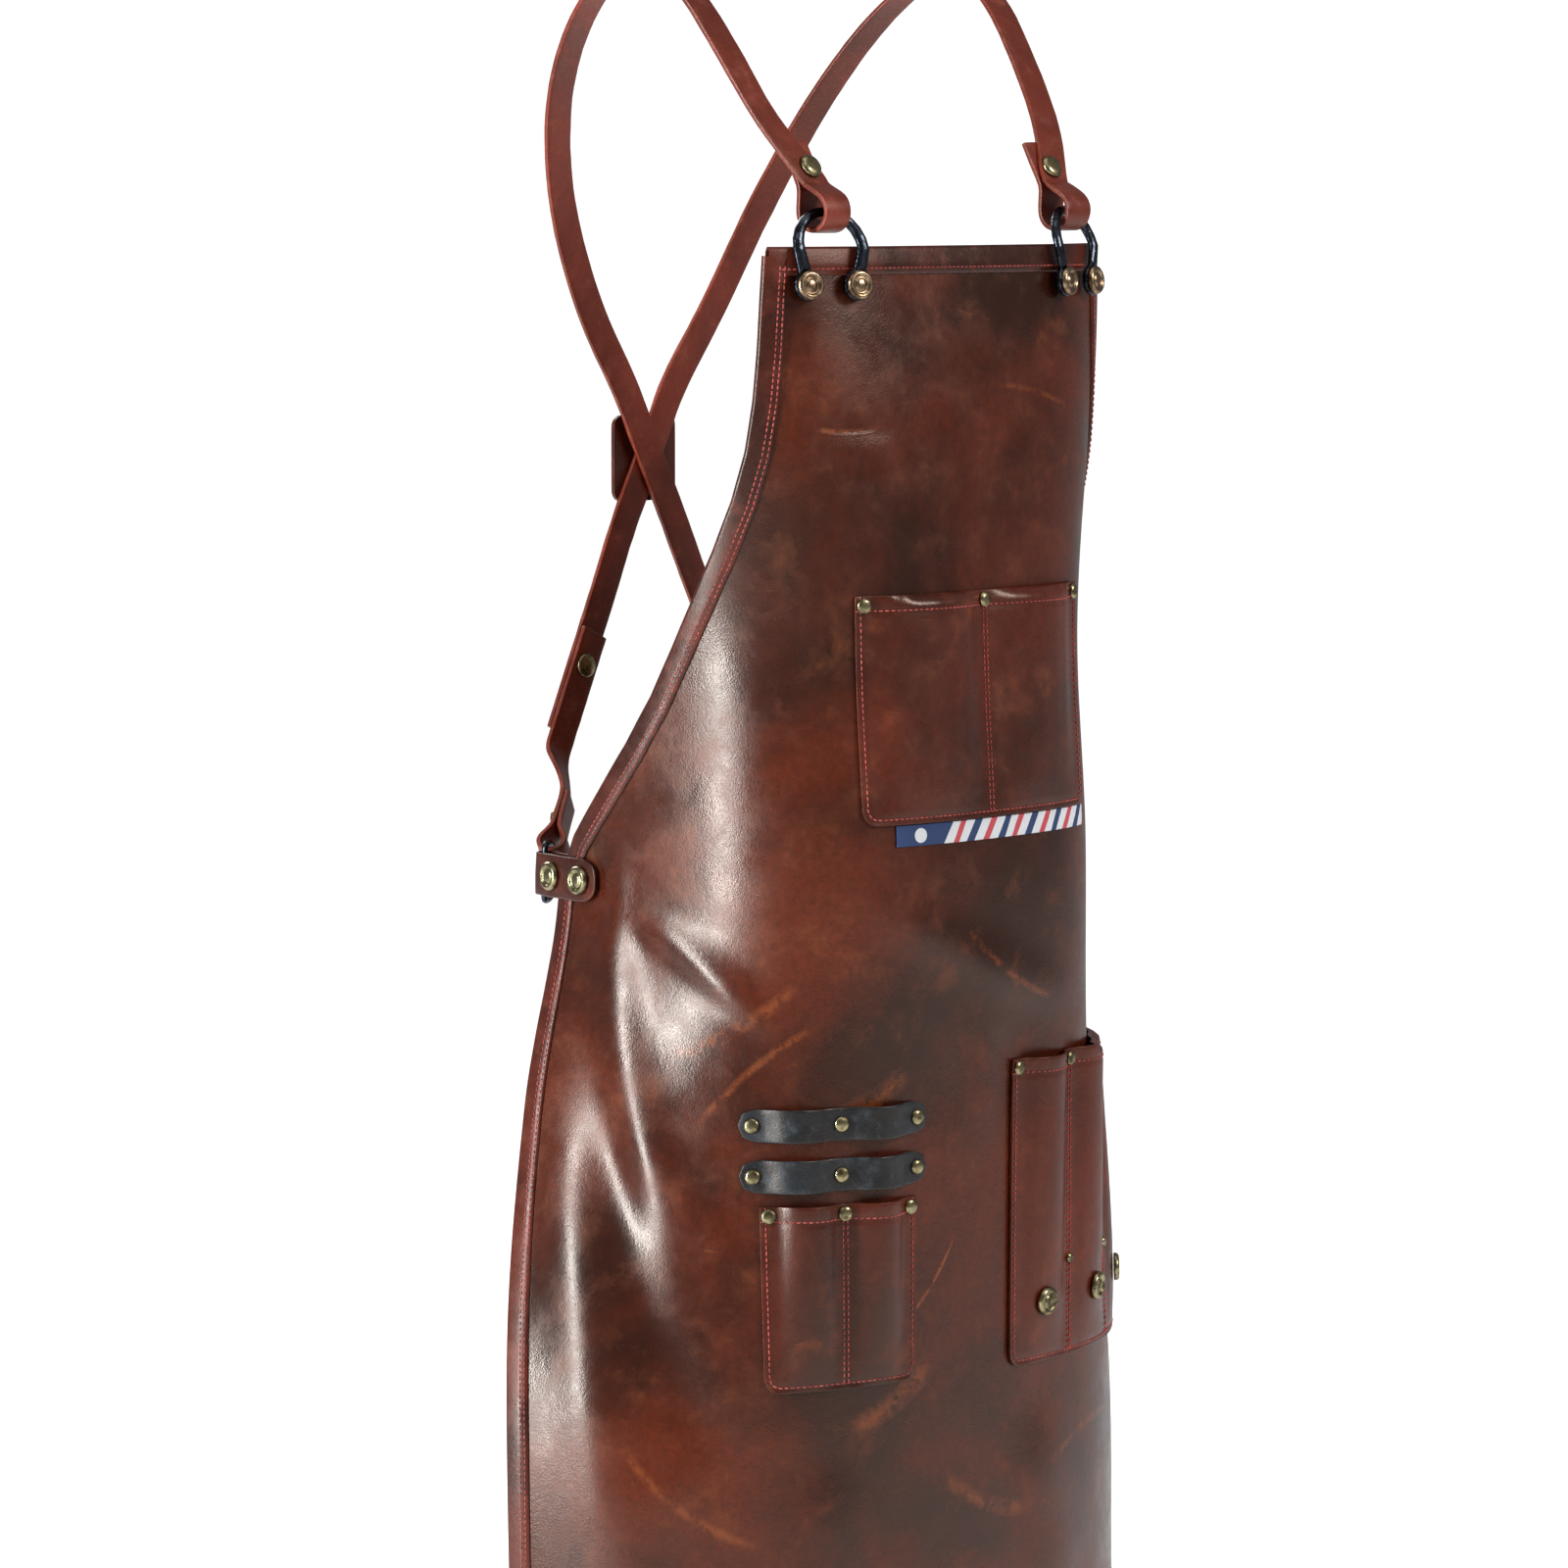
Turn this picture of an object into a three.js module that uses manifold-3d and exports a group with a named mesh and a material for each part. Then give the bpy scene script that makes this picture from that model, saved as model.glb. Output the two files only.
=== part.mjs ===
// Leather welding apron on a cross-back harness, in millimetres with +Z up.
// The wearer faces -Y, so the wearer's right is -X. The origin is midway between the places
// where the two straps rest on the shoulders.
import * as THREE from "three";
import { mergeVertices } from "three/addons/utils/BufferGeometryUtils.js";
import Module from "manifold-3d";

// ---- Leather and clearances ----
const PANEL_LEATHER = 2.0;
const POCKET_LEATHER = 1.8;
const BINDING_LEATHER = 1.4;
const STRAP_LEATHER = 3;
const LAY = 0.7; // between two curved leathers that lie on each other
const SEAT = 0.3; // between a metal piece and the leather it sits on
const WRAP = 0.4; // between two layers of a strap
const TURN_ROOM = 1.2; // inside a strap's end loop, so that it turns freely on its bar

// ---- Outline of the apron, on the flat leather ----
const BIB_TOP = -162; // level of the bib's top edge
const WAIST = -520; // level where the armhole curve meets the skirt's side
const HEM = -985;
const BIB_HALF_WIDTH = 142;
const SKIRT_HALF_WIDTH = 305;
const HEM_CORNER = 30; // radius
// The armhole from bib top to waist, as shares of the drop and of the widening.
const ARMHOLE = [
  [0, 0],
  [0.3, 0.08],
  [0.69, 0.45],
  [1, 1],
];

// ---- Drape: how the leather lies over the body ----
// front is how far the centreline stands forward of the shoulders. The turns say how fast the
// leather turns round the body, in degrees per 100 mm: across the front, at the flank and
// behind the flank.
const BODY = [
  { z: -130, front: 116, frontTurn: 1, flankTurn: 27, rearTurn: 26 },
  { z: -270, front: 136, frontTurn: 8, flankTurn: 52, rearTurn: 21 },
  { z: -410, front: 142, frontTurn: 13, flankTurn: 68, rearTurn: 17 },
  { z: -520, front: 148, frontTurn: 12, flankTurn: 68, rearTurn: 20 },
  { z: -660, front: 142, frontTurn: 10, flankTurn: 53, rearTurn: 24 },
  { z: -820, front: 141, frontTurn: 9, flankTurn: 33, rearTurn: 29 },
  { z: -980, front: 142, frontTurn: 12, flankTurn: 25, rearTurn: 37 },
];
const FLANK_STARTS = 30; // along the leather from the centreline
const FLANK_FULL = 120;
const REAR_STARTS = 140;
const REAR_FULL = 200;

// ---- Edge strips ----
const BINDING_WIDTH = 13;
const TOP_HEM_WIDTH = 14;

// ---- Pockets: sizes on the leather, u across (wearer's left is positive), z up ----
const POCKET_SEAM = 5.5; // width sewn flat each side of a divider, and half of it at an edge
const CHEST_POCKET = { left: -95, right: 95, top: -357, bottom: -488, columns: 2, fullness: 9 };
const HIP_POCKET = { left: -154, right: -54, top: -703, bottom: -810, columns: 2, fullness: 8.5 };
const THIGH_POCKET = { left: 24, right: 198, top: -632, bottom: -815, columns: 3, fullness: 9 };
const TAPE_WIDTH = 12;
const TAPE_THICK = 0.8;
const TAPE_INSET = 22; // from the pocket's right-hand corner to the start of the tape

// ---- Tool loops ----
const LOOP_LEFT = -165;
const LOOP_RIGHT = -47;
const LOOP_HEIGHT = 19;
const LOOP_LEVELS = { upper: -657, lower: -686 };
const LOOP_FULLNESS = 7.5;
const LOOP_RIVET_INSET = 8;
const LOOP_SEAM = 4; // how far the strip lies flat beyond a rivet

// ---- Rivets and studs ----
const RIVET_RADIUS = 4.5;
const RIVET_HEIGHT = 2.2;
const POCKET_RIVET_INSET = 5.5;
const SMALL_RIVET_RADIUS = 3.2;
const STUD_RADIUS = 8.5;
const STUD_HEIGHT = 3.2;
const CAP_RADIUS = 7.2;
const CAP_HEIGHT = 3;
const DIVIDER_END = -757; // level of the small rivets that end the thigh pocket's dividers
const THIGH_STUD_DROP = 21; // from a divider's end down to the stud row

// ---- Bows: the metal omega loops at the bib's corners ----
const BOW_FROM_CENTRE = 104; // along the leather
const BOW_EYE_DROP = 20; // below the bib's top edge
const BOW_EYE_SPACING = 33;
const BOW_EYE_RADIUS = 9;
const BOW_EYE_THICK = 3.5;
const BOW_RISE = 42; // from the eyes to the middle of the crown
const BOW_CROWN_RADIUS = 21.5;
const BOW_FOOT = { wide: 10, thick: 4 }; // the bar at the eyes, flat on the bib
const BOW_CROWN = { wide: 6, thick: 7 }; // the bar at the crown, where the strap pulls
const BOW_LEAN = 0.32; // how steeply the bow leans back above the bib

// ---- Waist tabs and rings ----
const TAB_LEVEL = -526;
const TAB_HEIGHT = 25;
const TAB_REACH = 39; // from the apron's edge inwards
const TAB_LEATHER = 2;
const TAB_CLEARANCE = 1.4; // between the tab and the edge binding that it straddles
const TAB_STUD_SPACING = 28;
const TAB_STUD_INSET = 15; // from the tab's rounded end
const TAB_OVERHANG = 20; // from the apron's edge out to the middle of the tab's fold
const RING_WIRE_RADIUS = 2;
const RING_INNER = 30; // straight side, inside the ring
const RING_DEPTH = 23; // from the straight side's middle to the inside of the curve
const RING_TURN = 45; // degrees that the straps pull the ring in from the apron's side

// ---- Harness ----
const STRAP_WIDTH = 20;
const RING_LIFT = 45; // degrees up a ring's curve to where the back strap pulls
const STRAP_CAP_RISE = 27; // from the crown to the cap that closes the end loop
const BACK_CAP_RISE = 23; // the same at a waist ring
const NECK_SHARE = 1.6; // from the bar to where an end loop closes, in loop radii
const STRAP_TAIL = 46; // length of the strap folded back behind the end loop
const BACK_TAIL = 38; // the same at a waist ring
const SPLICE_LAP = 44; // half the length over which shoulder and back strap lie together
const PATCH_SIZE = 52;
const PATCH_THICK = 2.5;
const PATCH_CORNER = 7; // radius

const wasm = await Module();
wasm.setup();

// ---- Finishes ----
const finish = (color, roughness, metalness) =>
  new THREE.MeshStandardMaterial({ color, roughness, metalness });
const LEATHER = finish(0x5a2a1a, 0.45, 0);
const BINDING = finish(0x5c2618, 0.45, 0);
const STRAP = finish(0x8c3c2d, 0.5, 0);
const BLACK_LEATHER = finish(0x1e262d, 0.5, 0);
const TAPE = finish(0x3c5082, 0.8, 0);
const BRASS = finish(0x78694b, 0.35, 1);
const BLACK_METAL = finish(0x1c1e22, 0.35, 1);

// ---- Interpolation ----
// A smooth curve through points that never overshoots them.
function smoothCurve(xs, ys) {
  const steps = xs.slice(1).map((x, i) => x - xs[i]);
  const slopes = steps.map((h, i) => (ys[i + 1] - ys[i]) / h);
  const tangents = xs.map((_, i) => {
    if (i === 0) return slopes[0];
    if (i === xs.length - 1) return slopes[i - 1];
    const before = slopes[i - 1];
    const after = slopes[i];
    if (before * after <= 0) return 0;
    const nearAfter = 2 * steps[i] + steps[i - 1];
    const nearBefore = steps[i] + 2 * steps[i - 1];
    return (nearAfter + nearBefore) / (nearAfter / before + nearBefore / after);
  });
  return (x) => {
    const held = Math.min(Math.max(x, xs[0]), xs[xs.length - 1]);
    const i = Math.min(Math.max(xs.findIndex((v) => v >= held) - 1, 0), steps.length - 1);
    const t = (held - xs[i]) / steps[i];
    const rise = t * t * (3 - 2 * t);
    return (
      ys[i] * (1 - rise) +
      ys[i + 1] * rise +
      steps[i] * (tangents[i] * t * (1 - t) ** 2 - tangents[i + 1] * t * t * (1 - t))
    );
  };
}

const levels = [...BODY].reverse();
const bodyCurve = (key) => smoothCurve(levels.map((l) => l.z), levels.map((l) => l[key]));
const frontAt = bodyCurve("front");
const turns = ["frontTurn", "flankTurn", "rearTurn"].map(bodyCurve);
const armholeAt = smoothCurve(ARMHOLE.map((p) => p[0]), ARMHOLE.map((p) => p[1]));

// Half the width of the apron at a level, with the rounded hem corners.
function halfWidthAt(z) {
  const drop = (BIB_TOP - z) / (BIB_TOP - WAIST);
  const widening = SKIRT_HALF_WIDTH - BIB_HALF_WIDTH;
  const straight = BIB_HALF_WIDTH + widening * armholeAt(drop);
  const above = z - HEM;
  if (above >= HEM_CORNER) return straight;
  return straight - HEM_CORNER + Math.sqrt(HEM_CORNER ** 2 - (HEM_CORNER - above) ** 2);
}

// Share of a smooth step that has been added up by the distance s along the leather.
function eased(s, from, to) {
  const t = Math.min(Math.max((s - from) / (to - from), 0), 1);
  return (to - from) * (t ** 3 - t ** 4 / 2) + Math.max(s - to, 0);
}

// The outer face of the leather: u runs across it from the centreline, z is the level.
function onDrape(u, z) {
  const [front, flank, rear] = turns.map((turn) => THREE.MathUtils.degToRad(turn(z)) / 100);
  const SLICES = 24;
  const reach = Math.abs(u);
  const point = new THREE.Vector3(0, -frontAt(z), z);
  for (let i = 0; i < SLICES; i++) {
    const s = ((i + 0.5) / SLICES) * reach;
    const angle =
      front * s +
      (flank - front) * eased(s, FLANK_STARTS, FLANK_FULL) -
      (flank - rear) * eased(s, REAR_STARTS, REAR_FULL);
    point.x += (Math.cos(angle) * u) / SLICES;
    point.y += (Math.sin(angle) * reach) / SLICES;
  }
  return point;
}

// A place on the drape with its directions: across (towards the wearer's left), up and out.
// faceAt gives the height of a face above the drape, and span is how wide a patch of it counts.
function frameOn(u, z, faceAt = null, span = 0.5) {
  const at = (a, b) => (faceAt ? place(a, b, faceAt(a, b)) : onDrape(a, b));
  const across = at(u + span, z).sub(at(u - span, z)).normalize();
  const rise = at(u, z + span).sub(at(u, z - span));
  const out = new THREE.Vector3().crossVectors(across, rise).normalize();
  const up = new THREE.Vector3().crossVectors(out, across);
  return { point: at(u, z), across, up, out };
}

function place(u, z, offset) {
  const { point, out } = frameOn(u, z);
  return point.addScaledVector(out, offset);
}

// ---- Solids ----
// Joins rings of points into one closed body. Opposite points of an end ring are paired
// to close it, unless the rings themselves close into a loop.
function skin(rings, closed = false) {
  const size = rings[0].length;
  const index = [];
  const points = rings.flat();
  // A four-sided face is split along its shorter diagonal.
  const quad = (a, b, c, d) => {
    const shorter = points[a].distanceTo(points[c]) <= points[b].distanceTo(points[d]);
    index.push(...(shorter ? [a, b, c, a, c, d] : [a, b, d, b, c, d]));
  };
  for (let i = 0; i < rings.length - (closed ? 0 : 1); i++) {
    const here = i * size;
    const next = ((i + 1) % rings.length) * size;
    for (let j = 0; j < size; j++) {
      const k = (j + 1) % size;
      quad(here + j, here + k, next + k, next + j);
    }
  }
  const last = (rings.length - 1) * size;
  for (let j = 0; !closed && j < size / 2 - 1; j++) {
    const m = size - 1 - j;
    quad(j + 1, j, m, m - 1);
    quad(last + j, last + j + 1, last + m - 1, last + m);
  }
  const volume = new THREE.Vector3();
  let signed = 0;
  for (let i = 0; i < index.length; i += 3) {
    volume.crossVectors(points[index[i]], points[index[i + 1]]);
    signed += volume.dot(points[index[i + 2]]);
  }
  if (signed < 0) index.reverse();
  const geometry = new THREE.BufferGeometry().setFromPoints(points);
  return geometry.setIndex(index);
}

// A sheet lying on the drape. Each row is a list of [u, z, offset of its inner face].
function sheet(rows, thickness) {
  return skin(
    rows.map((row) => [
      ...row.map(([u, z, offset]) => place(u, z, offset + thickness)),
      ...row.map(([u, z, offset]) => place(u, z, offset)).reverse(),
    ]),
  );
}

// A flat strip of leather along a path. Each stop has a point, its outward normal and,
// where it differs, a width.
function ribbon(stops, width, thickness) {
  return skin(
    stops.map((stop, i) => {
      const before = stops[Math.max(i - 1, 0)].point;
      const after = stops[Math.min(i + 1, stops.length - 1)].point;
      const along = after.clone().sub(before).normalize();
      const side = new THREE.Vector3().crossVectors(along, stop.out).normalize();
      const out = new THREE.Vector3().crossVectors(side, along);
      const half = (stop.width ?? width) / 2;
      return [
        [half, thickness / 2],
        [-half, thickness / 2],
        [-half, -thickness / 2],
        [half, -thickness / 2],
      ].map(([s, o]) => stop.point.clone().addScaledVector(side, s).addScaledVector(out, o));
    }),
  );
}

// A bar of oval section along a path near a plane with the given normal. radiiAt gives its
// two radii, in that plane and out of it, at a share of its length.
function bar(path, normal, radiiAt, closed = false) {
  const SIDES = 8;
  const count = path.length;
  return skin(
    path.map((point, i) => {
      const before = closed ? path[(i + count - 1) % count] : path[Math.max(i - 1, 0)];
      const after = closed ? path[(i + 1) % count] : path[Math.min(i + 1, count - 1)];
      const along = after.clone().sub(before).normalize();
      const side = new THREE.Vector3().crossVectors(along, normal).normalize();
      const [radiusInPlane, radiusOut] = radiiAt(i / (count - 1));
      return Array.from({ length: SIDES }, (_, k) => {
        const turn = ((k + 0.5) / SIDES) * 2 * Math.PI;
        return point
          .clone()
          .addScaledVector(side, Math.cos(turn) * radiusInPlane)
          .addScaledVector(normal, Math.sin(turn) * radiusOut);
      });
    }),
    closed,
  );
}

// A turned piece whose profile starts and ends on its axis, which points outwards.
function turned(profile, sides) {
  const lathe = new THREE.LatheGeometry(profile.map(([r, h]) => new THREE.Vector2(r, h)), sides);
  return lathe.rotateX(Math.PI / 2);
}

const rivetHead = (radius) =>
  turned(
    [
      [0, 0],
      [radius, 0],
      [radius, RIVET_HEIGHT * 0.35],
      [radius * 0.72, RIVET_HEIGHT * 0.85],
      [0, RIVET_HEIGHT],
    ],
    14,
  );
// A stud or snap cap: a raised ring round a dished middle.
const ringCap = (radius, height) =>
  turned(
    [
      [0, 0],
      [radius, 0],
      [radius, height * 0.45],
      [radius * 0.82, height],
      [radius * 0.55, height * 0.95],
      [radius * 0.4, height * 0.7],
      [0, height * 0.8],
    ],
    18,
  );

function solidOf(geometry) {
  const bare = geometry.clone();
  bare.deleteAttribute("normal");
  bare.deleteAttribute("uv");
  const merged = mergeVertices(bare);
  return new wasm.Manifold(
    new wasm.Mesh({
      numProp: 3,
      vertProperties: new Float32Array(merged.attributes.position.array),
      triVerts: new Uint32Array(merged.index.array),
    }),
  );
}

function geometryOf(solid) {
  const mesh = solid.getMesh();
  const geometry = new THREE.BufferGeometry();
  geometry.setAttribute("position", new THREE.BufferAttribute(mesh.vertProperties, 3));
  return geometry.setIndex(new THREE.BufferAttribute(mesh.triVerts, 1));
}

function piece(name, geometry, material) {
  geometry.computeVertexNormals();
  const mesh = new THREE.Mesh(geometry, material);
  mesh.name = name;
  return mesh;
}

// Sets a mesh on a frame, with its own +Z pointing out.
function seatOn(mesh, frame, offset) {
  mesh.position.copy(frame.point).addScaledVector(frame.out, offset);
  mesh.setRotationFromMatrix(
    new THREE.Matrix4().makeBasis(frame.across, frame.up, frame.out),
  );
  return mesh;
}

const range = (from, to, count) =>
  Array.from({ length: count + 1 }, (_, i) => from + ((to - from) * i) / count);

// ---- The panel and its edge strips ----
const SIDE_LEVELS = range(HEM + HEM_CORNER, BIB_TOP, 28);

function apronPanel() {
  const COLUMNS = 40;
  const cornerRows = range(0, 90, 4).map((deg) => {
    const turn = THREE.MathUtils.degToRad(deg);
    return HEM + HEM_CORNER * (1 - Math.cos(turn));
  });
  const rows = [...cornerRows, ...SIDE_LEVELS.slice(1)];
  const grid = rows.map((z) => {
    const half = halfWidthAt(z);
    return range(-half, half, COLUMNS).map((u) => [u, z, -PANEL_LEATHER]);
  });
  return piece("apron_panel", sheet(grid, PANEL_LEATHER), LEATHER);
}

// A strip folded round an edge of the panel. The path is a list of [u, z] along that edge,
// with the panel on its left-hand side.
function foldedStrip(path, width) {
  const inner = LAY;
  const outer = LAY + BINDING_LEATHER;
  const back = -PANEL_LEATHER;
  const section = [
    [width, outer],
    [-outer, outer],
    [-outer, back - outer],
    [width, back - outer],
    [width, back - inner],
    [-inner, back - inner],
    [-inner, inner],
    [width, inner],
  ];
  return skin(
    path.map(([u, z], i) => {
      const [u0, z0] = path[Math.max(i - 1, 0)];
      const [u1, z1] = path[Math.min(i + 1, path.length - 1)];
      const length = Math.hypot(u1 - u0, z1 - z0);
      const inward = [-(z1 - z0) / length, (u1 - u0) / length];
      return section.map(([d, offset]) => place(u + inward[0] * d, z + inward[1] * d, offset));
    }),
  );
}

function edgeStrips() {
  const start = BIB_TOP - TOP_HEM_WIDTH - LAY; // the top strip lies above this
  const side = [start, ...SIDE_LEVELS.filter((z) => z < start - 1).reverse()].map((z) => [
    -halfWidthAt(z),
    z,
  ]);
  const half = SKIRT_HALF_WIDTH - HEM_CORNER;
  const corner = range(15, 90, 5).map((deg) => {
    const turn = THREE.MathUtils.degToRad(deg);
    const u = -half - HEM_CORNER * Math.cos(turn);
    return [u, HEM + HEM_CORNER * (1 - Math.sin(turn))];
  });
  const rightHalf = [...side, ...corner];
  const hem = range(-half, half, 30).slice(1, -1).map((u) => [u, HEM]);
  const leftHalf = rightHalf.map(([u, z]) => [-u, z]).reverse();
  const binding = foldedStrip([...rightHalf, ...hem, ...leftHalf], BINDING_WIDTH);
  const top = range(BIB_HALF_WIDTH, -BIB_HALF_WIDTH, 24).map((u) => [u, BIB_TOP]);
  return [
    piece("edge_binding", binding, BINDING),
    piece("bib_top_hem", foldedStrip(top, TOP_HEM_WIDTH), BINDING),
  ];
}

// ---- Pockets ----
// How far a pocket's inner face stands off the panel. Each column is fullest at its mouth.
const fullnessAt = smoothCurve([0, 0.35, 0.8, 1], [1, 0.85, 0.4, 0]);
function pocketLift(size, u, z) {
  const width = (size.right - size.left) / size.columns;
  const across = (u - size.left) / width;
  const column = Math.min(Math.max(Math.floor(across), 0), size.columns - 1);
  const from = column === 0 ? 2 * POCKET_SEAM : POCKET_SEAM;
  const to = width - (column === size.columns - 1 ? 2 * POCKET_SEAM : POCKET_SEAM);
  const open = ((across - column) * width - from) / (to - from);
  if (open <= 0 || open >= 1) return 0;
  const depth = Math.min(Math.max((size.top - z) / (size.top - size.bottom), 0), 1);
  return size.fullness * fullnessAt(depth) * Math.sin(Math.PI * open) ** 0.7;
}

function pocket(name, size) {
  const ACROSS = 6;
  const width = (size.right - size.left) / size.columns;
  const columns = [size.left];
  for (let column = 0; column < size.columns; column++) {
    const start = size.left + column * width;
    const from = start + (column === 0 ? 2 * POCKET_SEAM : POCKET_SEAM);
    const last = column === size.columns - 1;
    const to = start + width - (last ? 2 * POCKET_SEAM : POCKET_SEAM);
    columns.push(...range(from, to, ACROSS), start + width);
  }
  const rows = range(size.bottom, size.top, 7).map((z) =>
    columns.map((u) => [u, z, LAY + pocketLift(size, u, z)]),
  );
  return piece(name, sheet(rows, POCKET_LEATHER), LEATHER);
}

function rivetOn(name, u, z, leather, radius = RIVET_RADIUS) {
  const head = piece(name, rivetHead(radius), BRASS);
  return seatOn(head, frameOn(u, z), LAY + leather + SEAT);
}

// One rivet at the top of each seam of a pocket.
function pocketRivets(prefix, size) {
  const width = (size.right - size.left) / size.columns;
  const level = size.top - POCKET_RIVET_INSET;
  return range(0, size.columns, size.columns).map((seam) => {
    const inset = seam === 0 ? POCKET_SEAM : seam === size.columns ? -POCKET_SEAM : 0;
    const u = size.left + seam * width + inset;
    return rivetOn(`${prefix}_rivet_${seam + 1}`, u, level, POCKET_LEATHER);
  });
}

function chestPocket() {
  const group = new THREE.Group();
  const { left, right, bottom } = CHEST_POCKET;
  const upper = bottom - SEAT;
  const tape = [upper, upper - TAPE_WIDTH / 2, upper - TAPE_WIDTH].map((z) =>
    range(left + TAPE_INSET, right, 16).map((u) => [u, z, LAY]),
  );
  group.add(pocket("chest_pocket", CHEST_POCKET), ...pocketRivets("chest_pocket", CHEST_POCKET));
  group.add(piece("label_tape", sheet(tape, TAPE_THICK), TAPE));
  return group;
}

function hipPocket() {
  const group = new THREE.Group();
  group.add(pocket("hip_pocket", HIP_POCKET), ...pocketRivets("hip_pocket", HIP_POCKET));
  return group;
}

function thighPocket() {
  const group = new THREE.Group();
  const { left, right, columns } = THIGH_POCKET;
  const width = (right - left) / columns;
  group.add(pocket("thigh_pocket", THIGH_POCKET), ...pocketRivets("thigh_pocket", THIGH_POCKET));
  for (let divider = 1; divider < columns; divider++) {
    const u = left + divider * width;
    const name = `divider_rivet_${divider}`;
    group.add(rivetOn(name, u, DIVIDER_END, POCKET_LEATHER, SMALL_RIVET_RADIUS));
  }
  const level = DIVIDER_END - THIGH_STUD_DROP;
  const faceAt = (u, z) => LAY + pocketLift(THIGH_POCKET, u, z) + POCKET_LEATHER;
  for (let column = 0; column < columns; column++) {
    const stud = piece(`thigh_stud_${column + 1}`, ringCap(STUD_RADIUS, STUD_HEIGHT), BRASS);
    const u = left + (column + 0.5) * width;
    group.add(seatOn(stud, frameOn(u, level, faceAt, STUD_RADIUS), SEAT));
  }
  return group;
}

// ---- Tool loops ----
function toolLoop(which) {
  const group = new THREE.Group();
  const middle = (LOOP_LEFT + LOOP_RIGHT) / 2;
  const posts = [LOOP_LEFT + LOOP_RIVET_INSET, middle, LOOP_RIGHT - LOOP_RIVET_INSET];
  const level = LOOP_LEVELS[which];
  const half = LOOP_HEIGHT / 2;
  const flat = RIVET_RADIUS + LOOP_SEAM;
  const lift = (u) => {
    for (const [from, to] of [posts.slice(0, 2), posts.slice(1)]) {
      const share = (u - from - flat) / (to - from - 2 * flat);
      if (share > 0 && share < 1) return LOOP_FULLNESS * Math.sin(Math.PI * share) ** 0.7;
    }
    return 0;
  };
  // The ends are rounded, so the rows get shorter towards the long edges.
  const rows = range(-1, 1, 4).map((share) => {
    const angle = (share * Math.PI) / 2;
    const round = half * (1 - Math.cos(angle));
    return range(LOOP_LEFT + round, LOOP_RIGHT - round, 22).map((u) => [
      u,
      level + half * Math.sin(angle),
      LAY + lift(u),
    ]);
  });
  group.add(piece(`tool_loop_${which}`, sheet(rows, POCKET_LEATHER), BLACK_LEATHER));
  posts.forEach((u, i) => group.add(rivetOn(`loop_${which}_rivet_${i + 1}`, u, level, POCKET_LEATHER)));
  return group;
}

// ---- Bows ----
const bowSeat = LAY + BINDING_LEATHER + WRAP; // the bow lies on the top hem
const bowFrame = (side) => frameOn(side * BOW_FROM_CENTRE, BIB_TOP - BOW_EYE_DROP);

// The bar is wide and flat at its feet and turns on edge towards the crown.
function bowRadii(share) {
  const turn = Math.sin(Math.PI * share) ** 0.8;
  const blend = (foot, crown) => (foot + (crown - foot) * turn) / 2;
  return [blend(BOW_FOOT.wide, BOW_CROWN.wide), blend(BOW_FOOT.thick, BOW_CROWN.thick)];
}

// How far in front of the bib's face the bar's middle is, at a height above the eyes.
function bowStandOff(share, height) {
  return bowRadii(share)[1] - BOW_LEAN * Math.max(0, height - BOW_EYE_DROP);
}

function crownCentre(side) {
  const frame = bowFrame(side);
  return frame.point
    .addScaledVector(frame.up, BOW_RISE)
    .addScaledVector(frame.out, bowSeat + bowStandOff(0.5, BOW_RISE));
}

function bow(side, label) {
  const group = new THREE.Group();
  const spread = BOW_EYE_SPACING / 2;
  const shoulder = BOW_RISE - BOW_CROWN_RADIUS;
  const waist = (spread + BOW_CROWN_RADIUS) / 2;
  const arch = range(0, 180, 12).map((deg) => {
    const turn = THREE.MathUtils.degToRad(deg);
    return [BOW_CROWN_RADIUS * Math.cos(turn), shoulder + BOW_CROWN_RADIUS * Math.sin(turn)];
  });
  const outline = [[spread, 0], [waist, shoulder / 2], ...arch, [-waist, shoulder / 2], [-spread, 0]];
  const path = outline.map(([x, y], i) => {
    return new THREE.Vector3(x, y, bowStandOff(i / (outline.length - 1), y));
  });
  const disc = (x, radius, from, to) =>
    new THREE.CylinderGeometry(radius, radius, to - from, 20)
      .rotateX(Math.PI / 2)
      .translate(x, 0, (from + to) / 2);
  const ends = [-spread, spread];
  // The foot of each leg is faced off flat, so that the stud's cap sits on the eye.
  const eyes = ends.map((x) => disc(x, BOW_EYE_RADIUS, 0, BOW_EYE_THICK));
  const facing = ends.map((x) => disc(x, STUD_RADIUS + 1, BOW_EYE_THICK, 3 * BOW_EYE_THICK));
  const rod = bar(path, new THREE.Vector3(0, 0, 1), bowRadii);
  const whole = eyes.map(solidOf).reduce((all, eye) => all.add(eye), solidOf(rod));
  const faced = facing.map(solidOf).reduce((all, cut) => all.subtract(cut), whole);
  const frame = bowFrame(side);
  group.add(seatOn(piece(`bow_${label}`, geometryOf(faced), BLACK_METAL), frame, bowSeat));
  ends.forEach((x, i) => {
    const stud = piece(`bow_${label}_stud_${i + 1}`, ringCap(STUD_RADIUS, STUD_HEIGHT), BRASS);
    const at = { ...frame, point: frame.point.clone().addScaledVector(frame.across, x) };
    group.add(seatOn(stud, at, bowSeat + BOW_EYE_THICK + SEAT));
  });
  return group;
}

// ---- Waist tabs and rings ----
const bindingOuter = LAY + BINDING_LEATHER;
const foldRadius = bindingOuter + PANEL_LEATHER / 2 + TAB_CLEARANCE; // inside of the tab's fold
const barShift = foldRadius - RING_WIRE_RADIUS - WRAP; // the ring is pulled out against the fold

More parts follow.
